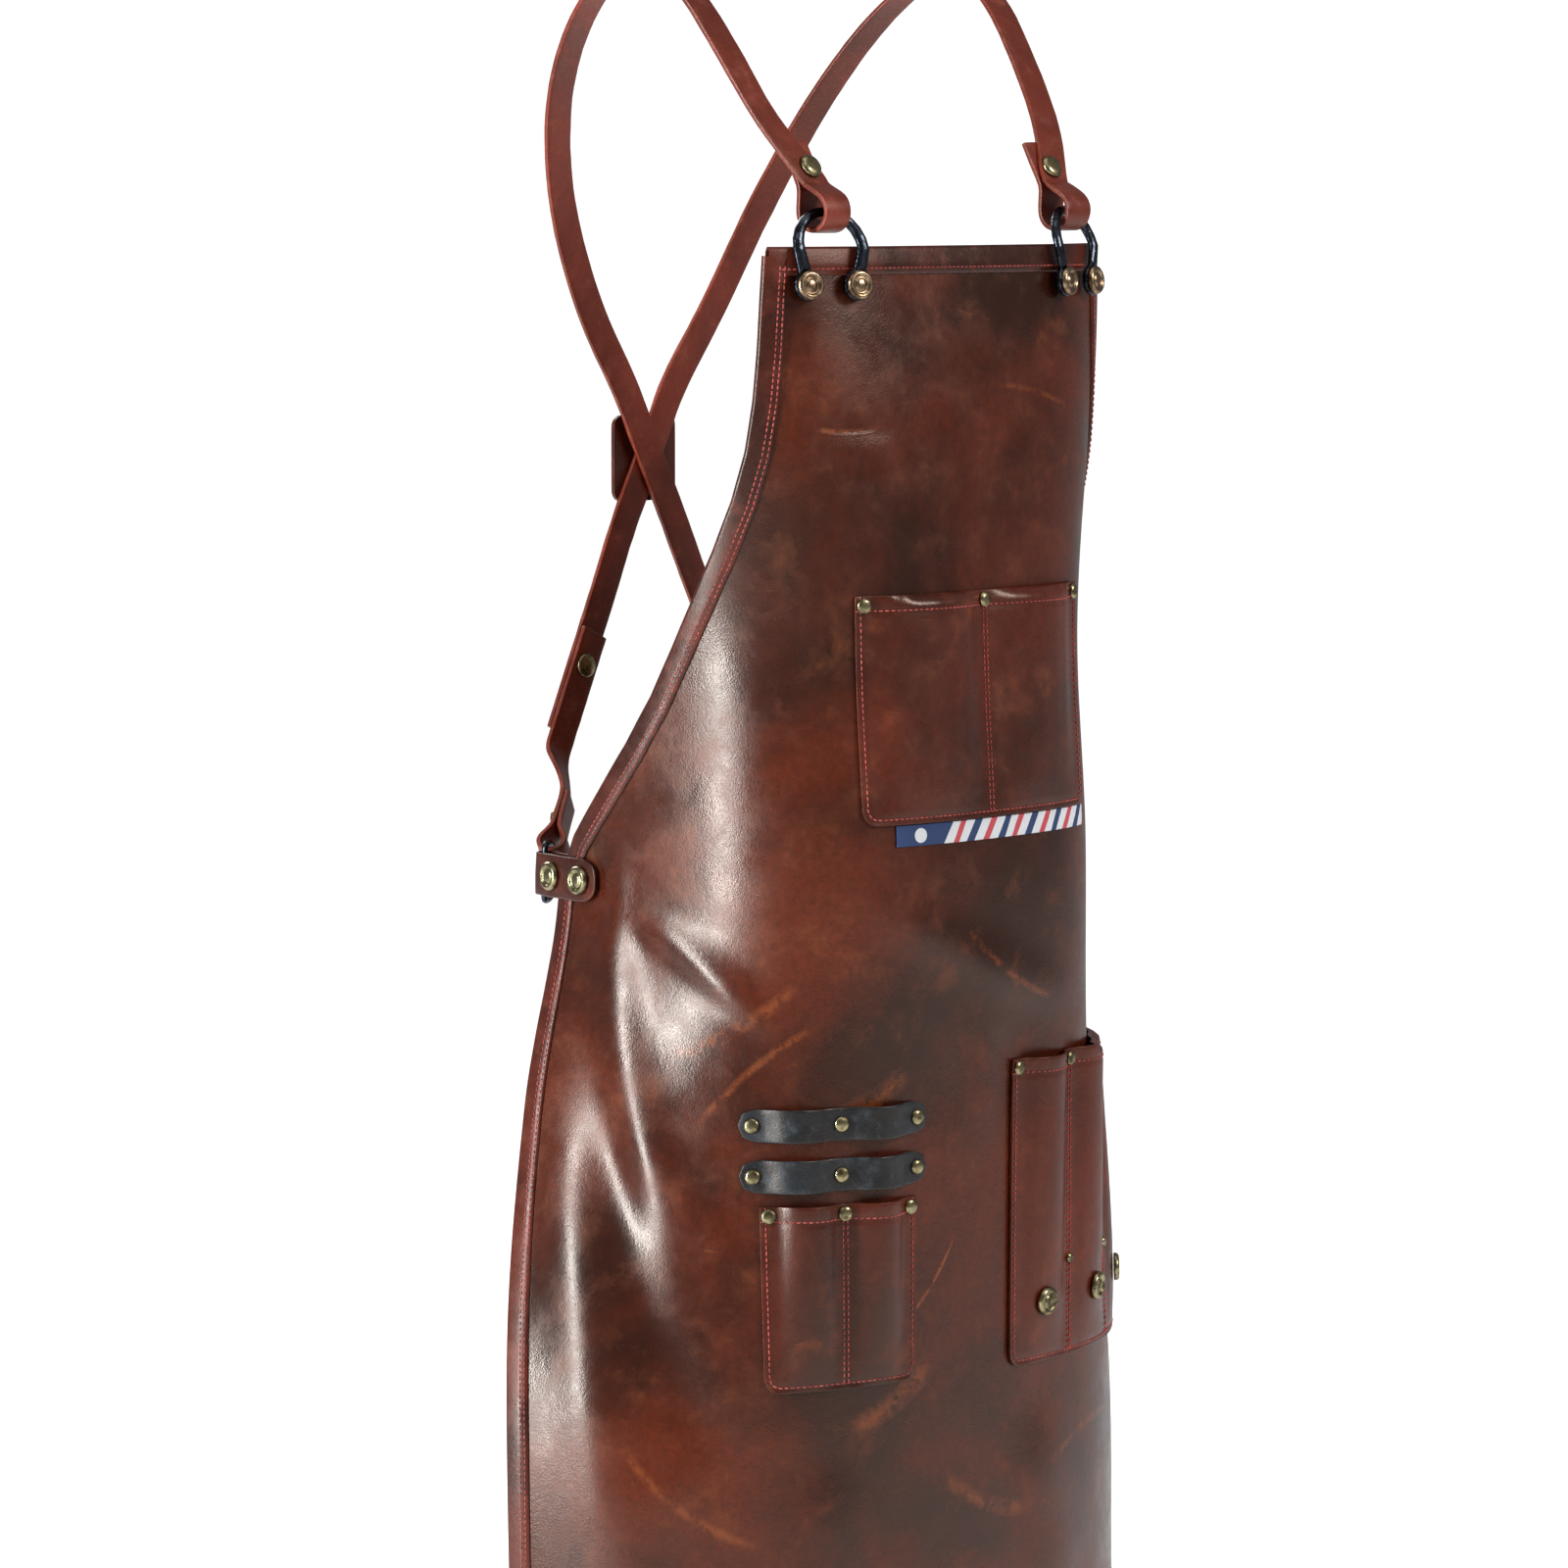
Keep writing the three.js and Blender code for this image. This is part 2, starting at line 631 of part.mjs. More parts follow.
function ringFrame(side) {
  const frame = frameOn(side * (SKIRT_HALF_WIDTH + TAB_OVERHANG), TAB_LEVEL);
  const outward = frame.across.clone().multiplyScalar(side);
  const centre = frame.point
    .clone()
    .addScaledVector(frame.out, -PANEL_LEATHER / 2)
    .addScaledVector(outward, barShift);
  const up = frame.up;
  const reach = outward.applyAxisAngle(up, THREE.MathUtils.degToRad(side * RING_TURN));
  const out = new THREE.Vector3().crossVectors(reach, up).multiplyScalar(side);
  return { centre, reach, up, out };
}

function waistTab(side, label) {
  const group = new THREE.Group();
  const edge = SKIRT_HALF_WIDTH;
  const half = TAB_HEIGHT / 2;
  const layer = foldRadius + TAB_LEATHER / 2;
  const start = edge - TAB_REACH;
  const stop = (u, offset, width) => {
    const frame = frameOn(side * u, TAB_LEVEL);
    return { point: frame.point.addScaledVector(frame.out, offset - PANEL_LEATHER / 2), frame, width };
  };
  const roundEnd = [25, 45, 65].map((deg) => {
    const turn = THREE.MathUtils.degToRad(deg);
    return stop(start + half * (1 - Math.cos(turn)), layer, 2 * half * Math.sin(turn));
  });
  const flat = range(start + half, edge + TAB_OVERHANG, 6).map((u) => stop(u, layer));
  const outer = [...roundEnd, ...flat].map((s) => ({ ...s, sign: 1 }));
  const fold = range(0, 180, 8).slice(1, -1).map((deg) => {
    const turn = THREE.MathUtils.degToRad(deg);
    const at = stop(edge + TAB_OVERHANG, layer * Math.cos(turn));
    at.point.addScaledVector(at.frame.across, side * layer * Math.sin(turn));
    const out = at.frame.out.clone().multiplyScalar(Math.cos(turn));
    return { ...at, out: out.addScaledVector(at.frame.across, side * Math.sin(turn)) };
  });
  const inner = range(edge + TAB_OVERHANG, start + half / 2, 7).map((u) => {
    return { ...stop(u, -layer), sign: -1 };
  });
  const stops = [...outer, ...fold, ...inner].map((s) => ({
    point: s.point,
    width: s.width,
    out: s.out ?? s.frame.out.clone().multiplyScalar(s.sign),
  }));
  group.add(piece(`waist_tab_${label}`, ribbon(stops, TAB_HEIGHT, TAB_LEATHER), LEATHER));
  [0, 1].forEach((i) => {
    const u = side * (start + TAB_STUD_INSET + i * TAB_STUD_SPACING);
    const stud = piece(`waist_tab_${label}_stud_${i + 1}`, ringCap(STUD_RADIUS, STUD_HEIGHT), BRASS);
    group.add(seatOn(stud, frameOn(u, TAB_LEVEL), foldRadius - PANEL_LEATHER / 2 + TAB_LEATHER + SEAT));
  });
  return group;
}

const ringRadius = RING_INNER / 2 + RING_WIRE_RADIUS;
const ringMiddle = RING_DEPTH + RING_WIRE_RADIUS - ringRadius; // of the curve, from the bar
function waistRing(side, label) {
  const { centre, reach, up, out } = ringFrame(side);
  const arc = range(-90, 90, 12).map((deg) => {
    const turn = THREE.MathUtils.degToRad(deg);
    return [ringMiddle + ringRadius * Math.cos(turn), ringRadius * Math.sin(turn)];
  });
  const bend = 2;
  const straight = range(ringRadius - bend, bend - ringRadius, 4).map((h) => [0, h]);
  const path = [...arc, [bend, ringRadius], ...straight, [bend, -ringRadius]].map(([r, h]) =>
    centre.clone().addScaledVector(reach, r).addScaledVector(up, h),
  );
  const wire = bar(path, out, () => [RING_WIRE_RADIUS, RING_WIRE_RADIUS], true);
  return piece(`waist_ring_${label}`, wire, BRASS);
}

// ---- Harness ----
// How far the inside of a curved bar lies below the top of its middle line, at the strap's edges.
function curveDepth(radius, barRadius) {
  return radius - Math.sqrt((radius - barRadius) ** 2 - (STRAP_WIDTH / 2) ** 2);
}

// The stops of a strap end that wraps a bar and lies back on itself. along is the strap's
// direction away from the bar, and out is its outward normal.
function endLoop(centre, along, out, innerRadius, tail) {
  const radius = innerRadius + STRAP_LEATHER / 2;
  const layer = (STRAP_LEATHER + WRAP) / 2;
  const at = (a, o, normalAlong, normalOut) => ({
    point: centre.clone().addScaledVector(along, a).addScaledVector(out, o),
    out: along.clone().multiplyScalar(normalAlong).addScaledVector(out, normalOut).normalize(),
  });
  // The two layers part at the neck and run straight to the round of the loop.
  const neck = NECK_SHARE * radius;
  const parting = [neck - 2, layer + 0.7];
  const reach = Math.hypot(...parting);
  const tangent = Math.atan2(parting[1], parting[0]) + Math.acos(radius / reach);
  const round = range(tangent, 2 * Math.PI - tangent, 10).map((turn) =>
    at(radius * Math.cos(turn), -radius * Math.sin(turn), Math.cos(turn), -Math.sin(turn)),
  );
  return [
    at(tail, -layer, 0, -1),
    at(neck + 2, -layer, 0, -1),
    at(parting[0], -parting[1], 0.25, -1),
    ...round,
    at(parting[0], parting[1], 0.25, 1),
    at(neck + 2, layer, 0, 1),
  ];
}

// A smooth run of stops through chosen points and normals.
function strapRun(marks, count) {
  const route = new THREE.CatmullRomCurve3(marks.map((m) => m.point), false, "centripetal");
  return range(0, 1, count).map((t) => {
    const share = route.getUtoTmapping(t) * (marks.length - 1);
    const i = Math.min(Math.floor(share), marks.length - 2);
    const out = marks[i].out.clone().lerp(marks[i + 1].out, share - i).normalize();
    return { point: route.getPointAt(t), out };
  });
}
const vector = (x, y, z) => new THREE.Vector3(x, y, z);
const mark = (point, out) => ({ point: vector(...point), out: vector(...out).normalize() });

// Where the tail of one shoulder strap lies on the back strap of a waist ring.
const CROSSING = vector(0, 131, -290);
const SPLICE = { x: 62, y: 124, z: -412 };
function splice(side) {
  const centre = vector(side * SPLICE.x, SPLICE.y, SPLICE.z);
  const up = CROSSING.clone().sub(centre).normalize();
  const out = vector(0, 1, 0);
  out.addScaledVector(up, -out.dot(up)).normalize();
  return { centre, up, out, across: new THREE.Vector3().crossVectors(up, out) };
}

// The route of the right shoulder's strap after its end loop; the left one mirrors it.
// Each mark is a point and its outward normal.
const SHOULDER_ROUTE = [
  [[-118, -83, -89], [0.05, -0.85, 0.55]],
  [[-125, -56, -47], [0, -0.8, 0.6]],
  [[-129, -30, -14], [0, -0.45, 0.9]],
  [[-131, 0, STRAP_LEATHER / 2], [0, 0, 1]],
  [[-129, 28, -5], [-0.05, 0.35, 0.95]],
  [[-124, 58, -27], [-0.1, 0.6, 0.8]],
  [[-111, 92, -72], [-0.12, 0.85, 0.5]],
  [[-86, 117, -134], [-0.1, 0.98, 0.2]],
  [[-52, 128, -200], [0, 1, 0.05]],
];
const mirrored = ([x, y, z], side) => [-side * x, y, z];

function shoulderStrap(side, label) {
  const group = new THREE.Group();
  const crown = crownCentre(side);
  const route = SHOULDER_ROUTE.map(([p, n]) => mark(mirrored(p, side), mirrored(n, side)));
  // Both loops turn about one line across the bib, which runs askew through each bow.
  const across = vector(1, 0, 0);
  const askew = (STRAP_WIDTH / 2) * Math.abs(bowFrame(side).across.y);
  const along = route[0].point.clone().sub(crown).setX(0).normalize();
  const out = new THREE.Vector3().crossVectors(across, along).normalize();
  if (out.dot(route[0].out) < 0) out.negate();
  const reachDown = curveDepth(BOW_CROWN_RADIUS, BOW_CROWN.wide / 2);
  const innerRadius = Math.hypot(reachDown, BOW_CROWN.thick / 2 + askew) + TURN_ROOM;
  const loop = endLoop(crown, along, out, innerRadius, STRAP_TAIL);
  // One strap crosses over the other, a layer apart.
  const layer = (side * (STRAP_LEATHER + WRAP)) / 2;
  const far = splice(-side);
  const over = far.out.clone().multiplyScalar(STRAP_LEATHER + WRAP);
  const lap = (d) => ({ point: far.centre.clone().addScaledVector(far.up, d).add(over), out: far.out });
  const reach = PATCH_SIZE * 0.75;
  const level = far.up.clone().setY(0).normalize();
  const atCrossing = [reach + 9, reach, -reach, -reach - 9].map((d) => ({
    point: CROSSING.clone().addScaledVector(level, d).add(vector(0, layer, 0)),
    out: vector(0, 1, 0),
  }));
  const marks = [
    { point: loop[loop.length - 1].point, out },
    ...route,
    ...atCrossing,
    lap(SPLICE_LAP + 8),
    lap(SPLICE_LAP),
    lap(-SPLICE_LAP),
  ];
  const stops = [...loop, ...strapRun(marks, 52).slice(1)];
  group.add(piece(`shoulder_strap_${label}`, ribbon(stops, STRAP_WIDTH, STRAP_LEATHER), STRAP));
  const face = (STRAP_LEATHER + WRAP) / 2 + STRAP_LEATHER / 2 + SEAT;
  const capFrame = {
    point: crown.clone().addScaledVector(along, STRAP_CAP_RISE),
    across: new THREE.Vector3().crossVectors(along, out),
    up: along,
    out,
  };
  group.add(seatOn(piece(`strap_cap_${label}`, ringCap(CAP_RADIUS, CAP_HEIGHT), BRASS), capFrame, face));
  const snap = piece(`splice_cap_${label}`, ringCap(CAP_RADIUS, CAP_HEIGHT), BRASS);
  group.add(seatOn(snap, { ...far, point: far.centre }, STRAP_LEATHER * 1.5 + WRAP + SEAT));
  return group;
}

// The short strap from a waist ring up to the splice with the far shoulder's strap.
function backStrap(side, label) {
  const group = new THREE.Group();
  const ring = ringFrame(side);
  const lift = THREE.MathUtils.degToRad(RING_LIFT);
  const centre = ring.centre
    .clone()
    .addScaledVector(ring.reach, ringMiddle + ringRadius * Math.cos(lift))
    .addScaledVector(ring.up, ringRadius * Math.sin(lift));
  const along = ring.reach.clone().multiplyScalar(Math.cos(lift)).addScaledVector(ring.up, Math.sin(lift));
  const innerRadius = curveDepth(ringRadius, RING_WIRE_RADIUS) + TURN_ROOM / 2;
  const loop = endLoop(centre, along, ring.out, innerRadius, BACK_TAIL);
  const lap = splice(side);
  const stops = [
    ...loop,
    ...strapRun(
      [
        { point: loop[loop.length - 1].point, out: ring.out },
        { point: centre.clone().addScaledVector(along, 42).addScaledVector(ring.out, 2), out: ring.out },
        { point: lap.centre.clone().addScaledVector(lap.up, -SPLICE_LAP - 12), out: lap.out },
        { point: lap.centre.clone().addScaledVector(lap.up, -SPLICE_LAP - 4), out: lap.out },
        { point: lap.centre.clone().addScaledVector(lap.up, SPLICE_LAP / 2), out: lap.out },
      ],
      26,
    ).slice(1),
  ];
  group.add(piece(`back_strap_${label}`, ribbon(stops, STRAP_WIDTH, STRAP_LEATHER), STRAP));
  const base = piece(`splice_base_${label}`, rivetHead(CAP_RADIUS), BRASS);
  const inside = {
    point: lap.centre,
    across: lap.across.clone().negate(),
    up: lap.up,
    out: lap.out.clone().negate(),
  };
  group.add(seatOn(base, inside, STRAP_LEATHER / 2 + SEAT));
  const face = (STRAP_LEATHER + WRAP) / 2 + STRAP_LEATHER / 2 + SEAT;
  const capFrame = {
    point: centre.clone().addScaledVector(along, BACK_CAP_RISE),
    across: new THREE.Vector3().crossVectors(along, ring.out),
    up: along,
    out: ring.out,
  };
  const cap = piece(`back_strap_cap_${label}`, ringCap(CAP_RADIUS - 1, CAP_HEIGHT), BRASS);
  group.add(seatOn(cap, capFrame, face));
  return group;
}

// A leather square over the crossing keeps the two shoulder straps together.
function crossPatch() {
  const half = PATCH_SIZE / 2;
  const corner = PATCH_CORNER;
  const shape = new THREE.Shape();
  shape.absarc(half - corner, half - corner, corner, 0, Math.PI / 2);
  shape.absarc(-half + corner, half - corner, corner, Math.PI / 2, Math.PI);
  shape.absarc(-half + corner, -half + corner, corner, Math.PI, 1.5 * Math.PI);
  shape.absarc(half - corner, -half + corner, corner, 1.5 * Math.PI, 2 * Math.PI);
  const settings = { depth: PATCH_THICK, bevelEnabled: false, curveSegments: 5 };
  const plate = new THREE.ExtrudeGeometry(shape, settings);
  const frame = {
    point: CROSSING,
    across: vector(-1, 0, 0),
    up: vector(0, 0, 1),
    out: vector(0, 1, 0),
  };
  const level = (STRAP_LEATHER + WRAP) / 2 + STRAP_LEATHER / 2 + WRAP;
  return seatOn(piece("cross_patch", plate, STRAP), frame, level);
}

// ---- The assembly ----
const apron = new THREE.Group();
apron.add(apronPanel(), ...edgeStrips());
apron.add(chestPocket(), hipPocket(), thighPocket());
apron.add(toolLoop("upper"), toolLoop("lower"));
for (const [side, label] of [[-1, "right"], [1, "left"]]) {
  apron.add(bow(side, label), waistTab(side, label), waistRing(side, label));
  apron.add(shoulderStrap(side, label), backStrap(side, label));
}
apron.add(crossPatch());

export default apron;
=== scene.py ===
"""Looks of a leather welding apron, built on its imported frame.

Lengths are in metres. The wearer faces -Y, and the wearer's left is +X.
"""

import logging
import math
from collections import defaultdict
from dataclasses import dataclass, field
from enum import Enum
from typing import Sequence

import bmesh
import bpy
import numpy as np
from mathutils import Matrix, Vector
from mathutils.bvhtree import BVHTree


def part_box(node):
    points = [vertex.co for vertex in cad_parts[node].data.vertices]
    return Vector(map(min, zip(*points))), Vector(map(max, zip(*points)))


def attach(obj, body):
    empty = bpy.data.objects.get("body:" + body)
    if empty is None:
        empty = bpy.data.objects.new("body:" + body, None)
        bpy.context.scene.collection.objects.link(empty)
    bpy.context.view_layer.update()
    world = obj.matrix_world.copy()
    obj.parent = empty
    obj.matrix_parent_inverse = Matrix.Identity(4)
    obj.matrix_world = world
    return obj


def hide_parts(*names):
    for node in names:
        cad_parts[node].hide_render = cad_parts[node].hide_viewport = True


log = logging.getLogger("apron")
MM = 0.001
SEED = 7
Array = np.ndarray
Color = tuple[float, float, float]
Place = tuple[float, float]
Object = bpy.types.Object
Material = bpy.types.Material
Socket = bpy.types.NodeSocket
Tree = bpy.types.NodeTree
Node = bpy.types.Node

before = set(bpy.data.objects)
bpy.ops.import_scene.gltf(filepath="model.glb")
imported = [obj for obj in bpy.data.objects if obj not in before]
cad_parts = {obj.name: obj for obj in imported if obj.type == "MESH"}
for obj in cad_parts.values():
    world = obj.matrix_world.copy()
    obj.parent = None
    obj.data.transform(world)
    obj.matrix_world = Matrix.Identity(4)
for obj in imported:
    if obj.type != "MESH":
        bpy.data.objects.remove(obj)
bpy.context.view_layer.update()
RIGHT_LEFT = ("right", "left")


# ---- Mesh helpers ----
def mesh_object(name: str, points: Array, faces: Sequence[Sequence[int]]) -> Object:
    """Makes a mesh object at the origin.

    Args:
        name: The piece's name.
        points: One row of three coordinates for each vertex.
        faces: The vertex numbers of each face.

    Returns:
        The new object, linked to the scene.
    """
    mesh = bpy.data.meshes.new(name)
    mesh.from_pydata([tuple(p) for p in np.asarray(points, float)], [], [tuple(f) for f in faces])
    mesh.update()
    made = bpy.data.objects.new(name, mesh)
    bpy.context.scene.collection.objects.link(made)
    return made


def outward(piece: Object) -> None:
    """Turns all faces of a closed mesh outwards."""
    work = bmesh.new()
    work.from_mesh(piece.data)
    bmesh.ops.recalc_face_normals(work, faces=work.faces)
    if work.calc_volume(signed=True) < 0:
        bmesh.ops.reverse_faces(work, faces=work.faces)
    work.to_mesh(piece.data)
    work.free()


def smooth_shade(piece: Object, sharp_angle: float = 40.0) -> None:
    """Shades a mesh smooth and keeps its edges sharp above an angle.

    Args:
        piece: The mesh object.
        sharp_angle: The angle in degrees past which an edge stays sharp.
    """
    piece.data.shade_smooth()
    piece.data.set_sharp_from_angle(angle=math.radians(sharp_angle))


def finished(piece: Object) -> Object:
    """Applies all of a piece's modifiers and removes them.

    Args:
        piece: The mesh object with live modifiers.

    Returns:
        The same object with a plain mesh.
    """
    bpy.context.view_layer.update()
    graph = bpy.context.evaluated_depsgraph_get()
    mesh = bpy.data.meshes.new_from_object(piece.evaluated_get(graph), depsgraph=graph)
    piece.modifiers.clear()
    old = piece.data
    piece.data = mesh
    mesh.name = piece.name
    bpy.data.meshes.remove(old)
    return piece


def set_uv(piece: Object, uv: Array) -> None:
    """Writes one UV pair for each vertex to the piece's own UV map.

    Args:
        piece: The mesh object.
        uv: One row of two coordinates for each vertex, in metres along the leather.
    """
    layer = piece.data.uv_layers.new(name="lay")
    corners = np.zeros(len(piece.data.loops), int)
    piece.data.loops.foreach_get("vertex_index", corners)
    layer.data.foreach_set("uv", np.asarray(uv, np.float32)[corners].ravel())


def dress(piece: Object, *materials: Material) -> None:
    """Gives a piece its materials in place of what it has."""
    index = np.zeros(len(piece.data.polygons), np.int32)
    piece.data.polygons.foreach_get("material_index", index)
    piece.data.materials.clear()
    for material in materials:
        piece.data.materials.append(material)
    piece.data.polygons.foreach_set("material_index", np.minimum(index, len(materials) - 1))


def settle(piece: Object, body: str, slot: str, *nodes: str) -> None:
    """Sets a piece on its body.

    Args:
        piece: The finished piece.
        body: The body that it rides on.
        slot: Not used.
        nodes: The CAD nodes that it stands for.
    """
    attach(piece, body)
    if nodes:
        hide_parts(*nodes)


def merged_copy(node: str, name: str) -> Object:
    """Copies a CAD node's mesh with its doubles merged and its flat faces joined.

    Args:
        node: The CAD node's name.
        name: The new piece's name.

    Returns:
        The new object.
    """
    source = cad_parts[node]
    work = bmesh.new()
    work.from_mesh(source.data)
    bmesh.ops.remove_doubles(work, verts=work.verts, dist=0.02 * MM)
    bmesh.ops.join_triangles(
        work,
        faces=work.faces,
        angle_face_threshold=math.radians(40),
        angle_shape_threshold=math.radians(70),
    )
    bmesh.ops.recalc_face_normals(work, faces=work.faces)
    mesh = bpy.data.meshes.new(name)
    work.to_mesh(mesh)
    work.free()
    made = bpy.data.objects.new(name, mesh)
    bpy.context.scene.collection.objects.link(made)
    return made


def tree_over(*pieces: Object) -> BVHTree:
    """Makes one search tree over the meshes of several pieces."""
    points: list[Vector] = []
    faces: list[tuple[int, ...]] = []
    for piece in pieces:
        base = len(points)
        points.extend(v.co.copy() for v in piece.data.vertices)
        faces.extend(tuple(base + i for i in p.vertices) for p in piece.data.polygons)
    return BVHTree.FromPolygons(points, faces)


def step(low: float, high: float, value: Array) -> Array:
    """Smooth step of an array from 0 at low to 1 at high."""
    t = np.clip((value - low) / (high - low), 0, 1)
    return t * t * (3 - 2 * t)


# ---- The leather's lie ----
@dataclass(frozen=True)
class Fold:
    """A soft ridge or hollow in the leather between two places on it.

    Places are (u, z): u across the leather from its centreline, z the level.
    """

    start: tuple[float, float]
    end: tuple[float, float]
    height: float
    width: float
    bow: float = 0.0

    def lift(self, u: Array, z: Array) -> Array:
        """Returns how far the ridge stands out at places on the leather."""
        du, dz = self.end[0] - self.start[0], self.end[1] - self.start[1]
        length = math.hypot(du, dz)
        along = ((u - self.start[0]) * du + (z - self.start[1]) * dz) / length**2
        aside = ((u - self.start[0]) * dz - (z - self.start[1]) * du) / length
        aside = aside - self.bow * 4 * along * (1 - along)
        ends = step(-0.12, 0.3, along) * (1 - step(0.7, 1.12, along))
        return self.height * ends * np.exp(-((aside / self.width) ** 2))


@dataclass(frozen=True)
class Quiet:
    """A stretch of the leather that hardware or a pocket holds flat."""

    left: float
    right: float
    bottom: float
    top: float

    def damping(self, u: Array, z: Array, fade: float) -> Array:
        """Returns 0 inside the stretch and 1 beyond its faded border."""
        away_u = np.maximum(self.left - u, u - self.right)
        away_z = np.maximum(self.bottom - z, z - self.top)
        return step(0, fade, np.maximum(away_u, away_z))


class Drape:
    """The smooth lie of the apron's leather, read back from the CAD panel.

    Places on it are (u, z). The front face of the leather is at offset 0.
    """

    REACH = 0.36
    PITCH = 2 * MM
    AXIS_Y = -0.02
    FADE = 22 * MM

    def __init__(self, node: str) -> None:
        """Reads the rows of the panel's front face.

        Args:
            node: The panel's CAD node.
        """
        levels, rows = self._front_rows(node)
        self.levels = np.array(levels)
        self.half_widths = np.array([self._length(row) / 2 for row in rows])
        self.us = np.arange(-self.REACH, self.REACH + self.PITCH / 2, self.PITCH)
        self.table = np.array([self._resampled(row) for row in rows])
        self.folds: list[Fold] = []
        self.quiet: list[Quiet] = []

    def _front_rows(self, node: str) -> tuple[list[float], list[Array]]:
        """Groups the vertices that face away from the body by their level."""
        points = merged_copy(node, "panel_reading")
        tree = tree_over(points)
        rows: dict[float, list[Vector]] = defaultdict(list)
        for vertex in points.data.vertices:
            away = Vector((vertex.co.x, vertex.co.y - self.AXIS_Y, 0)).normalized()
            if tree.ray_cast(vertex.co + away * 0.1 * MM, away, 20 * MM)[0] is None:
                rows[round(vertex.co.z, 5)].append(vertex.co.copy())
        bpy.data.objects.remove(points)
        kept = sorted(z for z, row in rows.items() if len(row) >= 30)
        return kept, [self._in_order(rows[z]) for z in kept]

    def _in_order(self, row: list[Vector]) -> Array:
        """Sorts a row round the body and drops what lies at its cut edges."""
        row = sorted(row, key=lambda p: math.atan2(p.x, self.AXIS_Y - p.y))
        points = np.array([tuple(p) for p in row])
        gaps = np.linalg.norm(np.diff(points, axis=0), axis=1)
        usual = np.median(gaps)
        while gaps[0] < 0.7 * usual:
            points, gaps = points[1:], gaps[1:]
        while gaps[-1] < 0.7 * usual:
            points, gaps = points[:-1], gaps[:-1]
        return points

    @staticmethod
    def _length(row: Array) -> float:
        """Returns the length of a row of points."""
        return float(np.linalg.norm(np.diff(row, axis=0), axis=1).sum())

    def _resampled(self, row: Array) -> Array:
        """Rebuilds a row at even steps from how it turns, and past its ends."""
        steps = np.diff(row[:, :2], axis=0)
        lengths = np.linalg.norm(steps, axis=1)
        heading = np.unwrap(np.arctan2(steps[:, 1], steps[:, 0]))
        at = np.cumsum(lengths) - lengths / 2 - lengths.sum() / 2
        turn = np.interp(self.us, at, heading)
        for end, inner, side in ((0, 3, self.us < at[0]), (-1, -4, self.us > at[-1])):
            slope = (heading[end] - heading[inner]) / (at[end] - at[inner])
            turn[side] = heading[end] + slope * (self.us[side] - at[end])
        middle = len(self.us) // 2
        x = np.cumsum(np.cos(turn)) * self.PITCH
        y = np.cumsum(np.sin(turn)) * self.PITCH
        x, y = x - x[middle], y - y[middle]
        spine = row[np.argmin(np.abs(row[:, 0]))]
        return np.stack([x + spine[0], y + spine[1]], axis=1)

    def half_width(self, z: Array) -> Array:
        """Returns half the leather's width at a level."""
        return np.interp(z, self.levels, self.half_widths)

    def bare(self, u: Array, z: Array) -> Array:
        """Returns points of the smooth front face.

        Args:
            u: Places across the leather.
            z: Levels, as many as u.

        Returns:
            One row of three coordinates for each place.
        """
        u, z = np.asarray(u, float), np.asarray(z, float)
        row = np.clip(np.searchsorted(self.levels, z) - 1, 0, len(self.levels) - 2)
        low, high = self.levels[row], self.levels[row + 1]
        t = (z - low) / (high - low)
        col = np.clip((u + self.REACH) / self.PITCH, 0, len(self.us) - 1.001)
        left = col.astype(int)
        share = (col - left)[:, None]

        def at(index: Array) -> Array:
            """Returns the row's point at u."""
            index = np.clip(index, 0, len(self.levels) - 1)
            return self.table[index, left] * (1 - share) + self.table[index, left + 1] * share

        def slope(index: Array) -> Array:
            """Returns how the row's point moves with the level."""
            below, above = np.maximum(index - 1, 0), np.minimum(index + 1, len(self.levels) - 1)
            return (at(above) - at(below)) / (self.levels[above] - self.levels[below])[:, None]

        h = (high - low)[:, None]
        t = t[:, None]
        xy = (
            at(row) * (1 + 2 * t) * (1 - t) ** 2
            + at(row + 1) * t * t * (3 - 2 * t)
            + slope(row) * h * t * (1 - t) ** 2
            - slope(row + 1) * h * t * t * (1 - t)
        )
        return np.concatenate([xy, z[:, None]], axis=1)

    def normal(self, u: Array, z: Array) -> Array:
        """Returns the outward normals of the smooth front face."""
        span = 2 * MM
        across = self.bare(u + span, z) - self.bare(u - span, z)
        rise = self.bare(u, z + span) - self.bare(u, z - span)
        out = np.cross(across, rise)
        return out / np.linalg.norm(out, axis=1)[:, None]

    def relief(self, u: Array, z: Array) -> Array:
        """Returns how far the folds lift the leather at places on it."""
        lift = sum((fold.lift(u, z) for fold in self.folds), np.zeros_like(u))
        for stretch in self.quiet:
            lift = lift * stretch.damping(u, z, self.FADE)
        return lift

    def place(self, u: Array, z: Array, offset: Array | float = 0.0) -> Array:
        """Returns points at an offset from the folded front face."""
        u, z = np.broadcast_arrays(np.asarray(u, float), np.asarray(z, float))
        shape = u.shape
        u, z = u.ravel(), z.ravel()
        raised = (np.broadcast_to(offset, shape).ravel() + self.relief(u, z))[:, None]
        return (self.bare(u, z) + self.normal(u, z) * raised).reshape(*shape, 3)

    def locate(self, point: Sequence[float]) -> tuple[float, float]:
        """Returns the (u, z) whose place on the leather is nearest to a point."""
        u, z = 0.0, float(point[2])
        target = np.array(point, float)
        for _ in range(3):
            line = self.bare(self.us[4:-4], np.full(len(self.us) - 8, z))
            u = float(self.us[4:-4][np.argmin(((line - target) ** 2).sum(1))])
            out = self.normal(np.array([u]), np.array([z]))[0]
            depth = float((target - self.bare(np.array([u]), np.array([z]))[0]) @ out)
            z = float(point[2] - out[2] * depth)
        return u, z


